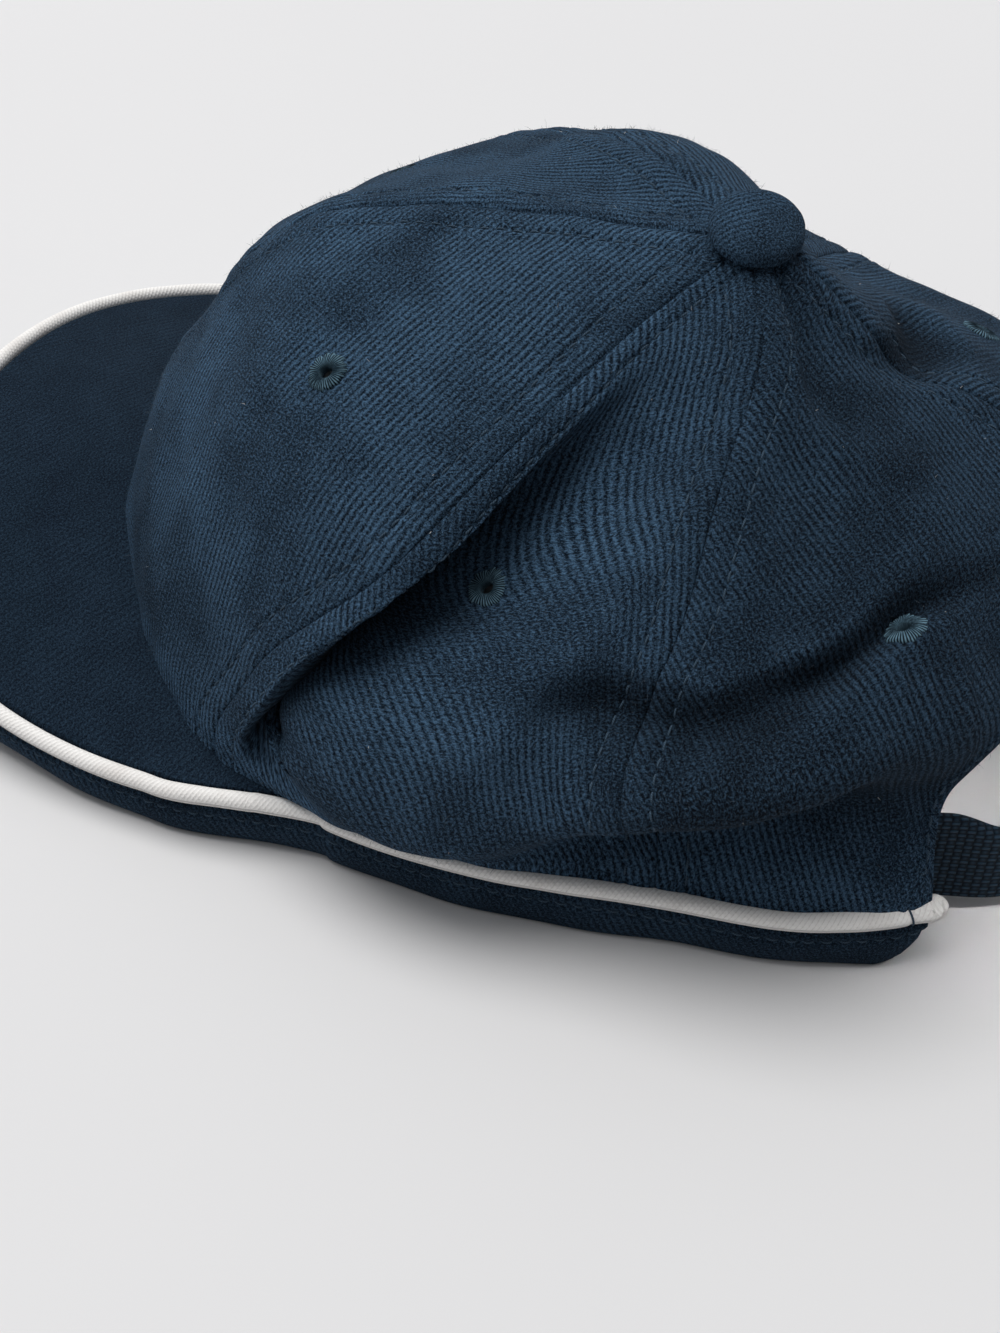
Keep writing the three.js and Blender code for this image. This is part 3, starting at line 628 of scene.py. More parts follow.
def webbing(name):
    """Basket-weave webbing: paired yarns over and under, in columns across its width."""
    f = Finish(name)
    x, y = f.cloth_place()
    place = f.vector(x, y)
    column = f.times(x, 1 / 1.55)
    row = f.times(y, 1 / 1.0)
    across = f.math("SINE", f.times(column, math.pi))
    along = f.math("SINE", f.times(row, math.pi))
    over = f.math("MULTIPLY_ADD", f.math("SIGN", f.times(across, along)), 0.5, 0.5)
    wide = f.math("ABSOLUTE", across)
    long = f.math("ABSOLUTE", along)
    warp = f.times(wide, f.math("POWER", long, 0.4))
    weft = f.times(long, f.math("POWER", wide, 0.4))
    cells = f.add(f.times(over, f.times(warp, 0.6)), f.times(f.math("SUBTRACT", 1.0, over), weft))
    fibre = f.wave(f.times(y, 1 / 0.31))
    height = f.add(cells, f.times(fibre, 0.12))
    base = f.blend(f.between(cells, 0.15, 0.9), (0.001, 0.004, 0.009), (0.022, 0.050, 0.084))
    colour = f.blend(f.times(f.noise(place, 2.4, 2.0), 0.15), base, (0.05, 0.08, 0.11))
    return f.done(colour, height, 0.42, 0.75, 0.0, SHEEN_TINT, 0.12)


def thread(name, dark, light):
    """Twisted sewing thread."""
    f = Finish(name)
    x, y = f.cloth_place()
    twist = f.wave(f.add(f.times(x, 1 / 0.42), f.times(y, 1 / 0.6)))
    fray = f.noise(f.vector(x, y), 2.0, 2.0)
    colour = f.blend(f.add(f.times(twist, 0.6), f.times(fray, 0.4)), dark, light)
    return f.done(colour, twist, 0.08, 0.75, 0.0, SHEEN_TINT, 0.12)


def embroidery(name):
    """Satin-stitched thread: fine fibres that run from the hole outwards."""
    f = Finish(name)
    x, y = f.cloth_place()
    place = f.vector(x, f.times(y, 0.25))
    fibres = f.noise(place, 4.0, 3.0, 0.7)
    threads = f.wave(f.times(x, EYELET["threads"] / (EYELET["girth"] * TAU)))
    level = f.add(f.times(threads, 0.6), f.times(fibres, 0.8))
    colour = f.blend(f.between(level, 0.48, 1.05), (0.003, 0.010, 0.017), (0.13, 0.235, 0.31))
    return f.done(colour, fibres, 0.16, 0.75, 0.0, SHEEN_TINT, 0.12)


def fluff(name, colour):
    f = Finish(name)
    place = f.tree.nodes.new("ShaderNodeTexCoord").outputs["Object"]
    patchy = f.noise(place, 260.0, 2.0)
    shade = f.blend(patchy, tuple(0.6 * c for c in colour), colour)
    return f.done(shade, patchy, 0.02, 0.95, 0.2, (1, 1, 1), 0.1)


def satin_metal(name):
    """Dark plated metal with fine scratches and patches rubbed a little brighter."""
    f = Finish(name)
    place = f.tree.nodes.new("ShaderNodeTexCoord").outputs["Object"]
    scratches = f.noise(place, 900.0, 3.0, 0.7)
    rubbed = f.between(f.noise(place, 160.0, 4.0), 0.5, 0.75)
    colour = f.blend(rubbed, (0.05, 0.05, 0.052), (0.12, 0.118, 0.115))
    roughness = f.math("MULTIPLY_ADD", scratches, 0.25, 0.28)
    return f.done(colour, scratches, 0.03, roughness, 0.0, (1, 1, 1), 0.5, metallic=0.9)


CLOTH_TWILL = twill("navy_twill_crown", 0, 1.3, with_painted_shade=True)
BAND_TWILL = twill("navy_twill_band", -26, 1.36, 0.8, 0.3, 0.55)
PEAK_TWILL = twill("navy_twill_peak", 57, 1.5, 0.35, 0.15, 0.29)
BUTTON_TWILL = twill("navy_twill_button", 35, 1.2, 0.7)
PIPING_CORD = piping_cord("white_cord")
WEBBING = webbing("navy_webbing")
THREAD = thread("navy_thread", (0.010, 0.020, 0.032), (0.09, 0.15, 0.22))
EMBROIDERY = embroidery("navy_embroidery")
NAVY_FLUFF = fluff("navy_fluff", (0.075, 0.10, 0.13))
WHITE_FLUFF = fluff("white_fluff", (0.7, 0.7, 0.68))
BUCKLE_METAL = satin_metal("dark_metal")


# ---- crown panels ----
def column_shares(name):
    shares = [0.0]
    for upto, spacing in COLUMN_SPACING[name]:
        start = shares[-1] * PANEL_WIDTH
        count = max(1, round((upto - start) / spacing))
        shares += [(start + (upto - start) * k / count) / PANEL_WIDTH for k in range(1, count + 1)]
    return np.array(shares)


def laid_flat(points, flat):
    """Plane places for a grid of cloth points, eased until its threads keep their lengths."""
    rows, cols = flat.shape[:2]
    index = np.arange(rows * cols).reshape(rows, cols)
    pairs = [(index[:, :-1], index[:, 1:]), (index[:-1], index[1:]), (index[:-1, :-1], index[1:, 1:]),
             (index[:-1, 1:], index[1:, :-1]), (index[:, :-4], index[:, 4:]), (index[:-4], index[4:])]
    a = np.concatenate([p.ravel() for p, _ in pairs])
    b = np.concatenate([q.ravel() for _, q in pairs])
    points = points.reshape(-1, 3)
    place = flat.reshape(-1, 2).copy()
    rest = np.linalg.norm(points[b] - points[a], axis=1)
    share = 1 / np.bincount(np.concatenate([a, b]))[:, None]
    for _ in range(500):
        gap = place[b] - place[a]
        length = np.maximum(np.linalg.norm(gap, axis=1, keepdims=True), 1e-6)
        pull = 0.5 * gap * (1 - rest[:, None] / length)
        move = np.zeros_like(place)
        for axis in (0, 1):
            move[:, axis] = (np.bincount(a, pull[:, axis], len(place))
                             - np.bincount(b, pull[:, axis], len(place)))
        place += 1.6 * share * move
    return place.reshape(rows, cols, 2)


class Panel:
    """One sewn panel as a fine grid, with its cloth measured out flat."""

    def __init__(self, index, name):
        self.index = index
        self.name = name
        shares = column_shares(name)
        r = np.linspace(0, 1, PANEL_ROWS + 1)[:, None]
        u = index + shares[None, :] + 0 * r
        bottom = arch_bottom(u)
        v = r + bottom * (1 - r) ** 2
        edge = SEW["seam_edge"] / (PANEL_WIDTH * (1 - PANEL_TAPER * v))
        u = index + edge + (1 - 2 * edge) * shares[None, :]
        self.shape = u.shape
        self.u = u
        self.v = v
        plain = crown(u.ravel(), v.ravel()).reshape(*u.shape, 3)
        plain[..., 2] -= SEW["rim_drop"] * (1 - smooth(v / 0.035))
        normals = grid_normals(plain)
        self.measure(plain, bottom[0])
        relief = self.relief(plain)
        self.points = plain + normals * relief[..., None]
        self.normals = grid_normals(self.points)
        self.inner = plain - normals * (CLOTH - np.minimum(relief, 0) * 0.6)[..., None]

    def measure(self, plain, bottom):
        """Flat cloth coordinates: x across from the panel's middle, y up from the rim."""
        across = np.linalg.norm(np.diff(plain, axis=1), axis=2)
        self.left = np.concatenate([np.zeros((self.shape[0], 1)), np.cumsum(across, axis=1)], axis=1)
        self.right = self.left[:, -1:] - self.left
        up = np.linalg.norm(np.diff(plain, axis=0), axis=2)
        self.y = np.concatenate([np.zeros((1, self.shape[1])), np.cumsum(up, axis=0)])
        steps = np.linspace(0, 1, 9)[:, None]
        below = crown((self.u[:1] + 0 * steps).ravel(), (bottom[None, :] * steps).ravel())
        legs = np.diff(below.reshape(9, -1, 3), axis=0)
        self.y += np.linalg.norm(legs, axis=2).sum(axis=0)[None, :]
        middle = np.array([np.interp(self.index + 0.5, self.u[i], self.left[i])
                           for i in range(self.shape[0])])
        self.x = self.left - middle[:, None]
        self.arched = bottom.max() > 0.01
        if self.arched:
            on_arch = bottom > 0
            self.arch_line = np.stack([self.x[0, on_arch], self.y[0, on_arch]], axis=1)

    def arch_distance(self):
        """Distance of each place from the opening's edge, and how far along that edge it is."""
        line = self.arch_line
        length = running_length(line)
        places = np.stack([self.x.ravel(), self.y.ravel()], axis=1)
        distance = np.full(len(places), 1e9)
        at = np.zeros(len(places))
        for a, b, start in zip(line[:-1], line[1:], length):
            leg = b - a
            t = np.clip(((places - a) @ leg) / max(leg @ leg, 1e-9), 0, 1)
            d = np.linalg.norm(places - a - t[:, None] * leg, axis=1)
            closer = d < distance
            distance[closer] = d[closer]
            at[closer] = start + t[closer] * np.linalg.norm(leg)
        return distance.reshape(self.shape), at.reshape(self.shape)

    def arch_gap(self, places):
        """Distance of flat cloth places from the points of the opening's edge."""
        return np.array([np.linalg.norm(self.arch_line - p, axis=1).min() for p in places])

    def relief(self, plain):
        """Height of the sewn and rumpled cloth; seams stop where the opening's hem begins."""
        total = rumple(plain) + wrinkle_relief(self.u.ravel(), self.v.ravel()).reshape(self.shape)
        left = seam_relief(self.left, self.y, self.index)
        right = seam_relief(self.right, self.y, self.index + 1)
        if not self.arched:
            return total + left + right
        distance, at = self.arch_distance()
        total += hem_relief(distance, at)
        far, near = (left, right) if self.name == "rear_left" else (right, left)
        return total + far + near * smooth((distance - 6) / 4)

    def piece(self):
        eyelet = dict(zip(EYELET_COLUMNS, EYELETS[self.name]))
        centre = crown(np.array([eyelet["u"]]), np.array([eyelet["v"]]))[0]
        points, faces, ri, ci = cloth_shell(self.points, self.inner, (centre, EYELET["cut"]))
        flat = self.grain_place()
        uv = np.concatenate([flat.reshape(-1, 2), flat[np.ix_(ri, ci)].reshape(-1, 2)])
        panel = mesh_piece("crown_" + self.name, points, faces, CLOTH_TWILL, uv)
        # Painted shade for the crown's colour, kept on each point of the mesh.
        tone = painted_shade_tone(self.u.ravel(), self.v.ravel(), self.points.reshape(-1, 3))
        inner = tone.reshape(self.shape)[np.ix_(ri, ci)].ravel()
        layer = panel.data.attributes.new("tone", "FLOAT", "POINT")
        layer.data.foreach_set("value", np.concatenate([tone, inner]))
        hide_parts("panel_" + self.name)

    def grain_place(self):
        """Where each place lies along and across the twill lines, with the panel laid flat."""
        even = plain_crown(self.u.ravel(), self.v.ravel()).reshape(*self.shape, 3)
        ri = np.unique(np.linspace(0, self.shape[0] - 1, 31).round().astype(int))
        ci = np.unique(np.linspace(0, self.shape[1] - 1, 21).round().astype(int))
        start = np.stack([self.x, self.y], axis=2)[np.ix_(ri, ci)]
        flat = laid_flat(even[np.ix_(ri, ci)], start)
        self.cut = tuple(float(MM * side) for side in np.ptp(flat.reshape(-1, 2), axis=0))
        one = flat[1:, 1:] - flat[:-1, :-1]
        other = flat[1:, :-1] - flat[:-1, 1:]
        cells = 0.5 * np.abs(one[..., 0] * other[..., 1] - one[..., 1] * other[..., 0])
        self.cut_area = float(MM**2 * cells.sum())
        rows = smooth_table(ri.astype(float), flat, np.arange(self.shape[0], dtype=float))
        both = smooth_table(ci.astype(float), rows.swapaxes(0, 1), np.arange(self.shape[1], dtype=float))
        x, y = both.swapaxes(0, 1).transpose(2, 0, 1)
        lean = math.radians(GRAIN[self.name])
        return np.stack([x * math.cos(lean) + y * math.sin(lean),
                         y * math.cos(lean) - x * math.sin(lean)], axis=2)

    def line_at(self, side, distance):
        """Points and normals of the line that keeps this distance from a seam."""
        across = self.left if side == "left" else self.right[:, ::-1]
        points = self.points if side == "left" else self.points[:, ::-1]
        normals = self.normals if side == "left" else self.normals[:, ::-1]
        rows = [i for i in range(self.shape[0]) if across[i, -1] > 2 * distance]
        line, out = (np.array([[np.interp(distance, across[i], table[i, :, k]) for k in range(3)]
                               for i in rows]) for table in (points, normals))
        return line, unit(out)

    def at_flat(self, places):
        """Points and normals at flat cloth coordinates, from the nearest four grid points."""
        if not hasattr(self, "tree"):
            self.tree = KDTree(self.x.size)
            for k, (x, y) in enumerate(zip(self.x.ravel(), self.y.ravel())):
                self.tree.insert((x, y, 0), k)
            self.tree.balance()
        points = self.points.reshape(-1, 3)
        normals = self.normals.reshape(-1, 3)
        found = []
        for x, y in places:
            near = self.tree.find_n((x, y, 0), 4)
            index = [k for _, k, _ in near]
            weight = np.array([1 / (d + 0.05) ** 2 for _, _, d in near])
            weight /= weight.sum()
            found.append((weight @ points[index], weight @ normals[index]))
        return np.array([p for p, _ in found]), unit(np.array([n for _, n in found]))


# ---- stitches ----
STITCH_STEPS = 5
STITCH_SIDES = 6
# Rows of the rear seam's stitches left out at the opening's hem.
HEM_ROWS = 14


def stitch_loops(line, out, start, thickness):
    """One stitch along a line: it dives into the cloth at both ends."""
    length = running_length(line)
    jitter = RANDOM.uniform(-0.12, 0.12, 2)
    at = start + jitter[0] + np.linspace(0, SEW["stitch"], STITCH_STEPS)
    middle = along_line(line, length, at)
    up = unit(along_line(out, length, at))
    way = unit(np.gradient(middle, axis=0))
    side = np.cross(up, way)
    rise = 0.42 * np.sin(np.linspace(0, math.pi, STITCH_STEPS)) ** 0.7 - 0.22
    middle = middle + up * rise[:, None] + side * np.linspace(-1, 1, STITCH_STEPS)[:, None] * jitter[1]
    loops = []
    for k in range(STITCH_STEPS):
        slim = thickness * (0.75 if k in (0, STITCH_STEPS - 1) else 1.0)
        turn = np.arange(STITCH_SIDES) * TAU / STITCH_SIDES
        loops.append(middle[k] + slim * (np.cos(turn)[:, None] * side[k] + np.sin(turn)[:, None] * up[k]))
    return np.array(loops)


class Stitching:
    """Rows of stitches gathered into one piece."""

    def __init__(self):
        self.points = []
        self.faces = []
        self.uv = []
        self.count = 0

    def row(self, line, out, first=1.5, last=1.0, thickness=SEW["thread"]):
        total = np.linalg.norm(np.diff(line, axis=0), axis=1).sum()
        starts = np.arange(first, total - last - SEW["stitch"], SEW["pitch"])
        for start in starts:
            self.loops(stitch_loops(line, out, start, thickness))

    def loops(self, loops):
        n, count = loops.shape[:2]
        faces = (loop_faces(n, count, False) + self.count).tolist()
        faces.append([self.count + k for k in range(count)])
        faces.append([self.count + n * count - 1 - k for k in range(count)])
        self.points.append(loops.reshape(-1, 3))
        self.faces += faces
        along, around = np.meshgrid(np.arange(n) * 0.6, np.arange(count) * 0.25, indexing="ij")
        self.uv.append(np.stack([along.ravel(), around.ravel()], axis=1) + RANDOM.uniform(0, 5))
        self.count += n * count

    def piece(self, name):
        return mesh_piece(name, np.concatenate(self.points), self.faces, THREAD,
                          np.concatenate(self.uv))


panels = [Panel(i, name) for i, name in enumerate(PANELS)]
seam_stitches = Stitching()
for panel in panels:
    panel.piece()
    for side in ("left", "right"):
        line, out = panel.line_at(side, SEW["row"])
        if (panel.name, side) in (("rear_left", "right"), ("rear_right", "left")):
            line, out = line[HEM_ROWS:], out[HEM_ROWS:]
        seam_stitches.row(line, out, first=2.5, last=-2.0)
seam_stitches.piece("seam_stitches")


def hem_row(panel):
    """The line of hem stitches, a hem's width inside the opening's edge."""
    line = panel.arch_line
    way = unit(np.gradient(line, axis=0))
    inward = np.stack([-way[:, 1], way[:, 0]], axis=1)
    places = line + SEW["hem"] * inward
    keep = (places[:, 1] > 3) & (panel.arch_gap(places) > SEW["hem"] - 0.4)
    places = places[keep]
    length = running_length(places)
    return panel.at_flat(along_line(places, length, np.arange(0, length[-1], 0.5)))


hem_stitches = Stitching()
for panel in panels[2:4]:
    hem_stitches.row(*hem_row(panel), first=1.0, last=0.5)
hem_stitches.piece("hem_stitches")


# ---- stitched eyelets ----
def on_cloth(u, v, across, up, height):
    """Places around (u, v) on the crown, height millimetres off its cloth."""
    step = 0.01
    at = np.array([[u + step, v], [u - step, v], [u, v + step], [u, v - step]])
    ends = crown(at[:, 0], at[:, 1])
    over_u = (ends[0] - ends[1]) / (2 * step)
    over_v = (ends[2] - ends[3]) / (2 * step)
    normal = crown_normal(at[:1, 0] - step, at[:1, 1])[0]
    side = unit(over_u)
    b = up / (over_v @ np.cross(normal, side))
    a = (across - b * (over_v @ side)) / np.linalg.norm(over_u)
    return crown(u + a, v + b) + height[:, None] * normal


def eyelet_piece(name):
    u, v, lift = EYELETS[name]
    turns = EYELET["steps"] * EYELET["threads"]
    angle = np.arange(turns) * TAU / turns
    lengths = RANDOM.uniform(-0.3, 0.45, EYELET["threads"])
    ragged = np.repeat(lengths, EYELET["steps"])
    thread_top = np.abs(np.sin(angle * EYELET["threads"] / 2))
    lean = 0.05 * np.sin(3 * angle)
    crest = np.array([(1.0, -0.25), (0.96, 0.12), (0.8, 0.5), (0.55, 0.85), (0.3, 1.0), (0.1, 0.85),
                      (0.0, 0.4), (-0.04, -0.8), (0.06, -1.7), (0.5, -1.9)])
    loops = []
    for share, h in crest:
        reach = EYELET["outer"] + ragged - EYELET["hole"]
        radius = EYELET["hole"] + share * reach
        over = h * EYELET["height"] * (0.5 + 0.5 * thread_top) + lift if h > 0 else h + 0 * angle
        loops.append(on_cloth(u, v, radius * np.cos(angle + lean), radius * np.sin(angle + lean), over))
    loops = np.array(loops).transpose(1, 0, 2)
    along = angle * EYELET["girth"]
    ring = bar_piece("stitched_" + name, loops, EMBROIDERY, along, ring=True)
    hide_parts("eyelet_" + name)


for name in PANELS:
    eyelet_piece(name)


# ---- covered button ----
def button_piece():
    r = BUTTON["radius"]
    h = BUTTON["height"]
    low = BUTTON["z"] - BUTTON["sunk"]
    profile = [(0.0, 0.04), (0.5, 0.02), (0.84, 0.0), (0.93, 0.05), (0.985, 0.16), (1.0, 0.32),
               (0.995, 0.44), (0.97, 0.58), (0.92, 0.70), (0.84, 0.80), (0.74, 0.88), (0.6, 0.945),
               (0.4, 0.985), (0.2, 1.0), (0.0, 1.005)]
    turns = 96
    angle = np.arange(turns) * TAU / turns
    loops = []
    for share, height in profile:
        pull = 1 + 0.010 * np.sin(9 * angle + 1) * bell(height, 0.25, 0.3)
        pull += 0.006 * np.sin(23 * angle) * bell(height, 0.15, 0.25)
        x = BUTTON["x"] + r * share * pull * np.cos(angle)
        y = BUTTON["y"] + r * share * pull * np.sin(angle)
        dent = 0.12 * np.sin(2 * angle + 0.6) * share
        loops.append(np.stack([x, y, low + h * height + dent * height], axis=1))
    loops = np.array(loops)
    leaning = (BUTTON["lean_x"] * (loops[..., 0] - BUTTON["x"])
               + BUTTON["lean_y"] * (loops[..., 1] - BUTTON["y"]))
    loops[..., 2] += BUTTON["raised"] - BUTTON["tilt"] * leaning
    faces = loop_faces(len(profile), turns, False)[:, ::-1].tolist()
    flat = loops.reshape(-1, 3)
    drop = np.repeat([(1 - height) * h for _, height in profile], turns)
    offset = flat[:, :2] - np.array([BUTTON["x"], BUTTON["y"]])
    uv = offset * (1 + drop / r)[:, None]
    button = mesh_piece("covered_button", flat, faces, BUTTON_TWILL, uv)
    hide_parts("top_button")


button_piece()


# ---- the edge: round the crown's rim and out round the peak ----
def corner_share(y):
    """From 0 along the peak to 1 at its corners and round the crown."""
    return smooth((y - PEAK_EDGE["corner_from"]) / PEAK_EDGE["corner_over"])


def edge_height(p):
    corner = corner_share(p[:, 1])
    across = np.minimum(1, np.abs(p[:, 0]) / PEAK["half_width"])
    front = PEAK_EDGE["low"] + PEAK_EDGE["corner_rise"] * corner + PEAK_EDGE["arch"] * (1 - across**2)
    return np.where(p[:, 1] > PEAK["back_y"], PIPING["z"], front)


def rim_points(u):
    s = section(u)
    return np.stack([s["rim_x"], s["rim_y"]], axis=1)


def peak_edge(angle):
    power = 2 / PEAK["square"]
    x = PEAK["half_width"] * np.sign(np.sin(angle)) * np.abs(np.sin(angle)) ** power
    y = PEAK["back_y"] - PEAK["front"] * np.abs(np.cos(angle)) ** power
    return np.stack([x, y], axis=1)


class Edge:
    """The sewn edge as an even line, with the way outwards and its height at every station."""

    def __init__(self, steps):
        side = 2.5 - PEAK["corner"]
        left = rim_points(2.5 - np.arange(23) * side / 22)
        front = peak_edge((math.pi / 2) * (1 - np.arange(1, 48) / 24))
        right = rim_points(6 - PEAK["corner"] - np.arange(23) * side / 22)
        line, length = smooth_line(np.concatenate([left, front, right]))
        self.at = np.linspace(0, length[-1], steps + 1)
        self.place = along_line(line, length, self.at)
        way = unit(np.gradient(self.place, axis=0))
        out = np.stack([-way[:, 1], way[:, 0]], axis=1)
        outward = (out * (self.place + np.array([0, 20]))).sum(axis=1) > 0
        self.out = np.where(outward[:, None], out, -out)
        self.z = edge_height(self.place)

    def point(self, out, z):
        flat = self.place + np.broadcast_to(out, self.z.shape)[:, None] * self.out
        return np.concatenate([flat, np.asarray(z)[:, None]], axis=1)


edge = Edge(620)


def piping_line():
    """Middle of the piping; both of its ends turn up against the hem of the rear opening."""
    line = edge.point(0, edge.z)
    ends = []
    for last, before in ((line[0], line[4]), (line[-1], line[-5])):
        way = unit((last - before) * np.array([1, 1, 0]))
        ends.append([last + ahead * way + np.array([0, 0, up]) for ahead, up in PIPING_TURN])
    whole = np.concatenate([ends[0][::-1], line, ends[1]])
    out = np.concatenate([edge.out[:1], edge.out[:1], edge.out, edge.out[-1:], edge.out[-1:]])
    rounded, length = smooth_line(whole, 2)
    return rounded, along_line(np.concatenate([out, 0 * out[:, :1]], axis=1), np.arange(len(out)),
                               np.linspace(0, len(out) - 1, len(rounded)))


def tube_loops(middle, out, radius, sides):
    """Round loops along a line; radius may change from station to station."""
    way = unit(np.gradient(middle, axis=0))
    up = unit(np.cross(way, out))
    up = np.where(up[:, 2:] < 0, -up, up)
    out = np.cross(up, way)
    turn = np.arange(sides) * TAU / sides
    ring = (np.cos(turn)[None, :, None] * out[:, None, :] + np.sin(turn)[None, :, None] * up[:, None, :])
    radius = np.broadcast_to(np.asarray(radius, float).reshape(-1, 1, 1), (len(middle), 1, 1))
    return middle[:, None, :] + radius * ring


def piping_piece():
    middle, out = piping_line()
    length = running_length(middle)
    to_end = np.minimum(length, length[-1] - length)
    closing = np.sqrt(np.clip(1 - ((1.6 - to_end) / 1.7).clip(0) ** 2, 0.02, 1))
    waist = 1 - 0.14 * bell(to_end, PIPING["wrap_at"], 0.5)
    knob = 1 + PIPING["knob"] * bell(to_end, PIPING["knob_at"], 2.4)
    uneven = 1 + 0.018 * np.sin(length / 3.1 + 2 * np.sin(length / 11))
    radius = PIPING["radius"] * closing * waist * knob * uneven
    piping = bar_piece("piping_cord", tube_loops(middle, out, radius, PIPING["sides"]), PIPING_CORD,
                       length)
    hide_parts("piping")
    return middle, out, length


piping_middle, piping_out, piping_length = piping_piece()


def piping_wraps():
    """Thread wound once round the piping near each of its ends."""
    wraps = Stitching()
    for at in (PIPING["wrap_at"], piping_length[-1] - PIPING["wrap_at"]):
        centre = along_line(piping_middle, piping_length, np.array([at - 0.4, at, at + 0.4]))
        way = unit(centre[2] - centre[0])
        side = unit(along_line(piping_out, piping_length, np.array([at]))[0])
        up = np.cross(way, side)
        turn = np.linspace(0, TAU, 29)
        reach = PIPING["radius"] * 0.98
        ring = (centre[1] + reach * (np.cos(turn)[:, None] * side + np.sin(turn)[:, None] * up)
                + 0.35 * np.sin(turn)[:, None] * way)
        radial = unit(ring - centre[1])
        tangent = unit(np.gradient(ring, axis=0))
        across = np.cross(tangent, radial)
        spin = np.arange(6) * TAU / 6
        loops = ring[:, None, :] + 0.2 * (np.cos(spin)[None, :, None] * radial[:, None, :]
                                          + np.sin(spin)[None, :, None] * across[:, None, :])
        wraps.loops(loops)
    wraps.piece("piping_wraps")


piping_wraps()


def band_outline(low, top):
    """Half-round outline of the band, from its inner foot out and up, for every station."""
    foot = 1.1
    shoulder = 0.9
    steps = np.linspace(0, 1, 5)
    outline = [(BAND["inner"], low + 0.3), (BAND["inner"] + 0.4, low)]
    width = BAND["outer"]
    for s in steps:
        a = -math.pi / 2 + s * math.pi / 2
        outline.append((width - foot + foot * math.cos(a), low + foot + foot * math.sin(a)))
    for s in (0.25, 0.45, 0.65):
        outline.append((width + BAND["bulge"] * math.sin(math.pi * s), low + s * (top - low)))
    for s, dent in ((0.72, 0.28), (BAND["row"], 0.02), (0.83, 0.24), (0.9, 0.3)):
        outline.append((width + dent, low + s * (top - low)))
    for s in steps[1:]:
        a = s * math.pi / 2
        outline.append((width - shoulder + shoulder * math.cos(a),
                        top - shoulder + shoulder * math.sin(a)))
    outline.append((BAND["inner"], top))
    return outline


def band_piece():
    top = edge.z - (PIPING["z"] - BAND["top"])
    corner = corner_share(edge.place[:, 1])
    low = np.maximum(0, edge.z - PEAK_EDGE["drop"] - (PIPING["z"] - PEAK_EDGE["drop"]) * corner)
    wave = 0.35 * np.sin(edge.at / 9.5 + 1.7 * np.sin(edge.at / 31)) + 0.18 * np.sin(edge.at / 4.1)
    way = unit(np.gradient(edge.place, axis=0))
    to_end = np.minimum(edge.at, edge.at[-1] - edge.at)
    cut = BAND["cut"] * smooth(1 - to_end / BAND["cut_over"]) * np.sign(edge.at[-1] / 2 - edge.at)
    loops = []
    for out, z in band_outline(low, top):
        lower = 1 - smooth((z - low) / 6)
        loop = edge.point(out + wave * lower * (out > 0), z)
        loop[:, :2] += way * (cut * np.clip((top - z) / (top - low), 0, 1))[:, None]
        loops.append(loop)
    loops = np.array(loops).transpose(1, 0, 2)
    band = bar_piece("edge_binding", loops, BAND_TWILL, edge.at)
    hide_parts("edge_band")
    row_z = low + BAND["row"] * (top - low)
    line = edge.point(BAND["outer"] + 0.12, row_z)
    out = np.concatenate([edge.out, 0 * edge.out[:, :1]], axis=1)
    stitches = Stitching()
    stitches.row(line, out, first=2.0, last=1.0, thickness=0.17)
    stitches.piece("band_stitches")


band_piece()


# ---- peak ----
def peak_piece():
    rows, cols = 70, 300
    front = np.nonzero(edge.place[:, 1] < PEAK["corner_y"])[0]
    share = np.linspace(0, 1, cols + 1)
    spot = front[0] + share * (front[-1] - front[0])
    outer_ring = edge.point(-PIPING["radius"] - 0.4, edge.z + 0.9)
    outer = along_line(outer_ring, np.arange(len(edge.z)), spot)
    s = section(PEAK["in_corner"] * (1 - 2 * share))
    inside = 1 - 1.6 / np.hypot(s["rim_x"], s["rim_y"])
    inner = np.stack([s["rim_x"] * inside, s["rim_y"] * inside, s["rim_z"] - 0.3], axis=1)
    t = np.linspace(0, 1, rows + 1)[:, None, None]
    top = inner[None] * (1 - t) + outer[None] * t
    edge_round = -0.9 * smooth((t[..., 0] - 0.965) / 0.035) ** 2
    soft = 0.25 * rumple(top * 0.6) + 0.05 * rumple(top * 2.2)
    top[..., 2] += edge_round + soft
    under = inner[None] * (1 - t) + outer[None] * t
    under[..., 2] -= PEAK["thickness"] - 0.7 * smooth((t[..., 0] - 0.97) / 0.03)
    points, faces, ri, ci = cloth_shell(top[:, ::-1], under[:, ::-1])
    seen = top[:, ::-1, :2].reshape(-1, 2)
    below = under[:, ::-1][np.ix_(ri, ci)][..., :2].reshape(-1, 2)
    uv = np.concatenate([seen, below])
    peak = mesh_piece("peak_cloth", points, faces, PEAK_TWILL, uv)
    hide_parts("peak")


peak_piece()


# ---- strap across the rear opening ----
STRAP_PATH, STRAP_LENGTH = smooth_line(STRAP_LINE)


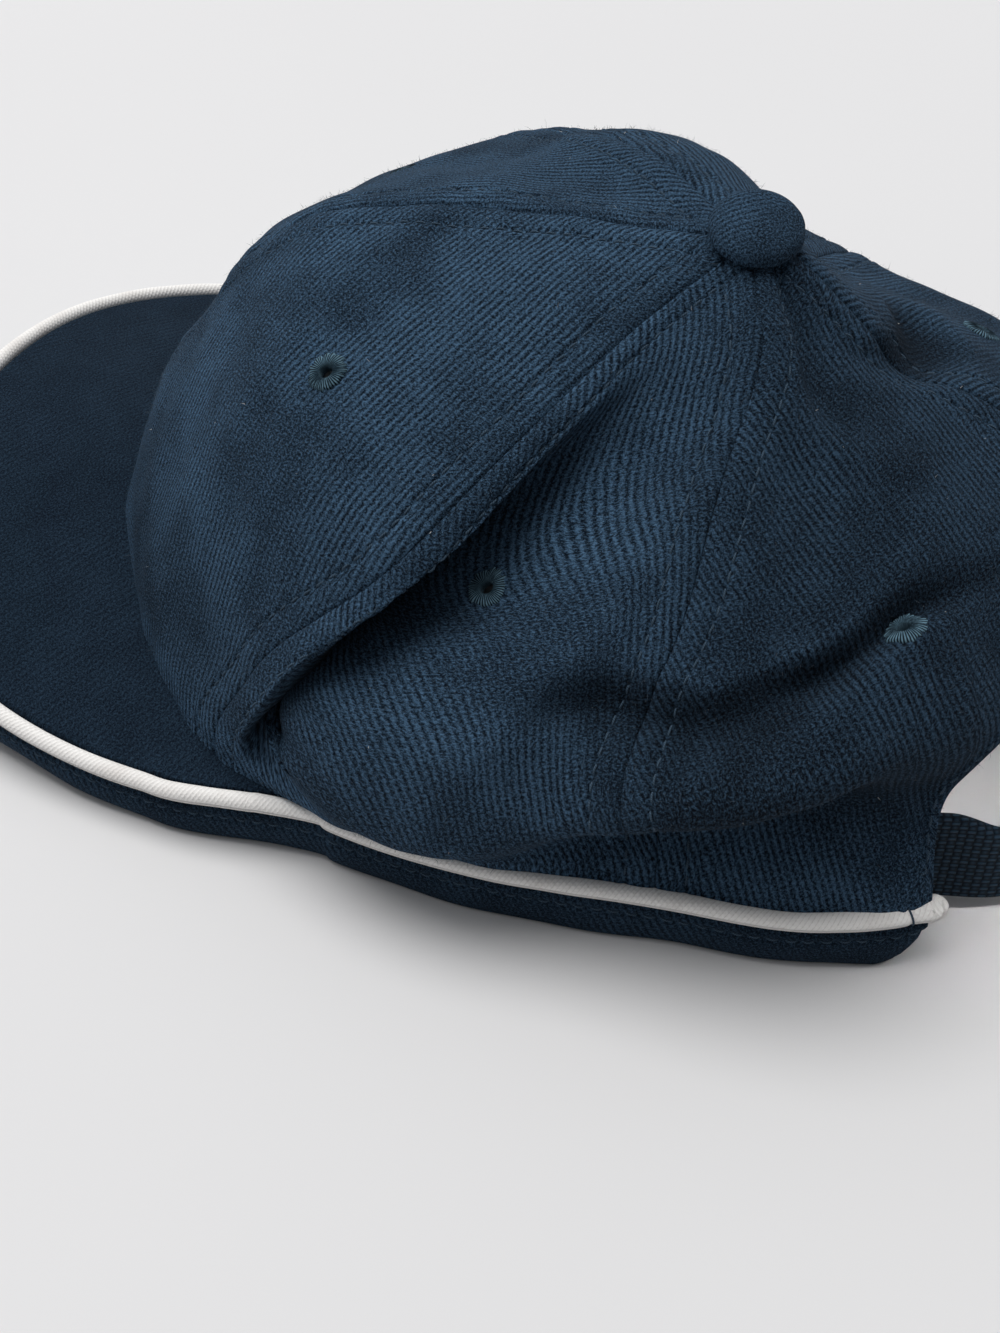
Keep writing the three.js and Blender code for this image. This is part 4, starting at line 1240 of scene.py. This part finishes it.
def strap_outline(at):
    """Outline of the webbing on edge; along the opening its upper edge is turned down inside."""
    t = STRAP["thickness"]
    slack = float(smooth((at - STRAP["turn_start"]) / 12) * smooth((BUCKLE["at"] - 13 - at) / 12))
    flap = t * (0.1 + 0.9 * slack)
    inside = -0.5 * t - 0.05 - STRAP["turn_gap"] * slack
    tall = STRAP["width"] - STRAP["turn"] * slack
    low = tall - t - 0.2 - STRAP["turn"] * slack
    c = 0.35
    corners = [(0.5 * t, c), (0.5 * t, tall - c), (0.5 * t - c, tall), (inside - flap + c, tall),
               (inside - flap, tall - c), (inside - flap, low), (inside, low), (inside, tall - t),
               (-0.5 * t, tall - t), (-0.5 * t, c), (-0.5 * t + c, 0), (0.5 * t - c, 0)]
    counts = (16, 1, 2, 1, 5, 1, 4, 1, 12, 1, 1, 1)
    outline = []
    for (a, b), (p, q), count in zip(corners, corners[1:] + corners[:1], counts):
        outline += [(a + (p - a) * k / count, b + (q - b) * k / count) for k in range(count)]
    return outline


def strap_piece(name, node, stations, out_at):
    middle = along_line(STRAP_PATH, STRAP_LENGTH, stations)
    step = along_line(STRAP_PATH, STRAP_LENGTH, np.minimum(stations + 0.1, STRAP_LENGTH[-1]))
    back = along_line(STRAP_PATH, STRAP_LENGTH, np.maximum(stations - 0.1, 0))
    way = unit(step - back)
    loops = []
    for at, (x, y), (tx, ty) in zip(stations, middle, way):
        ripple = 0.12 * math.sin(at / 2.3)
        loops.append([(x + (c + out_at(at)) * ty, y - (c + out_at(at)) * tx,
                       STRAP["lift"] + h + ripple * h / STRAP["width"]) for c, h in strap_outline(at)])
    strap = bar_piece(name, loops, WEBBING, stations)
    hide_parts(node)


def over_bar(at):
    return BUCKLE["step"] * float(bell(at, BUCKLE["at"], BUCKLE["reach"]))


in_slot = 0.5 * BUCKLE["width"] - BUCKLE["bar"]
strap_piece("webbing_left", "strap_left", np.linspace(0, BUCKLE["at"] + in_slot - 0.6, 150), over_bar)
strap_piece("webbing_right", "strap_right", np.linspace(BUCKLE["at"] + in_slot, STRAP_LENGTH[-1], 80),
            lambda at: 0.0)


def buckle_piece():
    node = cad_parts["strap_buckle"]
    mesh = node.data.copy()
    mesh.name = "slide_buckle"
    mesh.materials.clear()
    mesh.materials.append(BUCKLE_METAL)
    buckle = bpy.data.objects.new("slide_buckle", mesh)
    bpy.context.scene.collection.objects.link(buckle)
    bevel = buckle.modifiers.new("rounded", "BEVEL")
    bevel.width = 0.4 * MM
    bevel.segments = 3
    bevel.limit_method = "ANGLE"
    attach(buckle, "root")
    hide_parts("strap_buckle")


buckle_piece()


# ---- nap and lint ----
def fibres(name, places, normals, lengths, width, material, slot):
    """Short bent fibres standing on the cloth."""
    n = len(places)
    lean = RANDOM.normal(size=(n, 3))
    way = unit(normals + 0.75 * lean)
    side = unit(np.cross(way, RANDOM.normal(size=(n, 3))))
    curl = unit(np.cross(way, side)) * lengths[:, None] * RANDOM.uniform(-0.5, 0.5, (n, 1))
    root = places - 0.08 * normals
    middle = root + way * lengths[:, None] * 0.55
    tip = root + way * lengths[:, None] + curl
    w = width * side
    points = np.stack([root - w, root + w, middle + 0.7 * w, middle - 0.7 * w, tip], axis=1).reshape(-1, 3)
    first = 5 * np.arange(n)[:, None]
    faces = (first + np.array([0, 1, 2, 3])).tolist() + (first + np.array([3, 2, 4])).tolist()
    return mesh_piece(name, points, faces, material)


def scattered(count):
    """Random places on the outer cloth of the crown."""
    places = []
    normals = []
    for panel in panels:
        up = np.gradient(panel.points, axis=0)
        across = np.gradient(panel.points, axis=1)
        area = np.linalg.norm(np.cross(up, across), axis=2).ravel()
        pick = RANDOM.choice(area.size, count // len(panels), p=area / area.sum())
        places.append(panel.points.reshape(-1, 3)[pick] + RANDOM.uniform(-0.3, 0.3, (len(pick), 3)))
        normals.append(panel.normals.reshape(-1, 3)[pick])
    return np.concatenate(places), np.concatenate(normals)


NAP = {"count": 24000, "shortest": 0.35, "usual": 0.33, "longest": 1.7, "width": 0.03}
LINT = {"count": 90, "shortest": 0.4, "longest": 1.1, "width": 0.06, "lift": 0.1}
nap_places, nap_normals = scattered(NAP["count"])
nap_lengths = NAP["shortest"] + RANDOM.exponential(NAP["usual"], len(nap_places)).clip(0, NAP["longest"])
fibres("nap", nap_places, nap_normals, nap_lengths, NAP["width"], NAVY_FLUFF, "navy_twill")
lint_places, lint_normals = scattered(LINT["count"])
lint_lengths = RANDOM.uniform(LINT["shortest"], LINT["longest"], len(lint_places))
fibres("lint", lint_places + LINT["lift"] * lint_normals, lint_normals, lint_lengths,
       LINT["width"], WHITE_FLUFF, "white_piping")


# ---- table, light and camera ----
def table():
    f = Finish("pale_table")
    place = f.tree.nodes.new("ShaderNodeTexCoord").outputs["Object"]
    grain = f.noise(place, 3.0, 3.0)
    colour = f.blend(grain, (0.755, 0.75, 0.755), (0.795, 0.79, 0.795))
    material = f.done(colour, grain, 0.01, 0.6, specular=0.12)
    bpy.ops.mesh.primitive_plane_add(size=6, location=(0, 0, -0.0003))
    floor = bpy.context.object
    floor.name = "table"
    floor.data.materials.append(material)


LIGHT_COLUMNS = ("place", "aim", "size", "power", "colour", "spread")
LIGHTS = {
    "key": ((-0.35, -0.8, 3.3), (0, 0, 0), 2.6, 82, (1.0, 0.99, 0.975), 180),
    "rear_spot": ((0.03, 0.262, 0.256), (0.032, 0.104, 0), 0.03, 0.005, (1.0, 1.0, 1.0), 16),
}
# The sky's light falls off away from its bright side.
SKY = {"colour": (0.95, 0.97, 1.0, 1.0), "bright_side": (-0.62, -0.55, 0.56), "from": -0.5,
       "darkest": 0.03, "brightest": 0.75}


def area_light(name, place, aim, size, power, colour, spread):
    light = bpy.data.lights.new(name, "AREA")
    light.shape = "DISK"
    light.size = size
    light.energy = power
    light.color = colour
    light.spread = math.radians(spread)
    lamp = bpy.data.objects.new(name, light)
    bpy.context.scene.collection.objects.link(lamp)
    lamp.location = place
    lamp.rotation_euler = (Vector(place) - Vector(aim)).to_track_quat("Z", "Y").to_euler()


def studio():
    world = bpy.data.worlds.new("studio")
    world.use_nodes = True
    tree = world.node_tree
    background = tree.nodes["Background"]
    background.inputs["Color"].default_value = SKY["colour"]
    toward = tree.nodes.new("ShaderNodeVectorMath")
    toward.operation = "DOT_PRODUCT"
    toward.inputs[1].default_value = SKY["bright_side"]
    tree.links.new(tree.nodes.new("ShaderNodeTexCoord").outputs["Generated"], toward.inputs[0])
    strength = tree.nodes.new("ShaderNodeMapRange")
    strength.inputs["From Min"].default_value = SKY["from"]
    strength.inputs["To Min"].default_value = SKY["darkest"]
    strength.inputs["To Max"].default_value = SKY["brightest"]
    tree.links.new(toward.outputs["Value"], strength.inputs["Value"])
    tree.links.new(strength.outputs["Result"], background.inputs["Strength"])
    bpy.context.scene.world = world
    for name, row in LIGHTS.items():
        area_light(name, **dict(zip(LIGHT_COLUMNS, row)))
    bpy.context.scene.view_settings.view_transform = "Standard"


CAMERA = {"azimuth": 109, "elevation": 44.4, "distance": 0.373, "lens": 49.26,
          "target": (0.0201, 0.0035, 0)}


def camera():
    a = math.radians(CAMERA["azimuth"])
    e = math.radians(CAMERA["elevation"])
    back = Vector((math.sin(a) * math.cos(e), -math.cos(a) * math.cos(e), math.sin(e)))
    lens = bpy.data.cameras.new("camera")
    lens.sensor_width = 36
    lens.lens = CAMERA["lens"]
    lens.clip_start = 0.01
    view = bpy.data.objects.new("camera", lens)
    bpy.context.scene.collection.objects.link(view)
    view.location = Vector(CAMERA["target"]) + CAMERA["distance"] * back
    view.rotation_euler = back.to_track_quat("Z", "Y").to_euler()
    bpy.context.scene.camera = view


table()
studio()
camera()
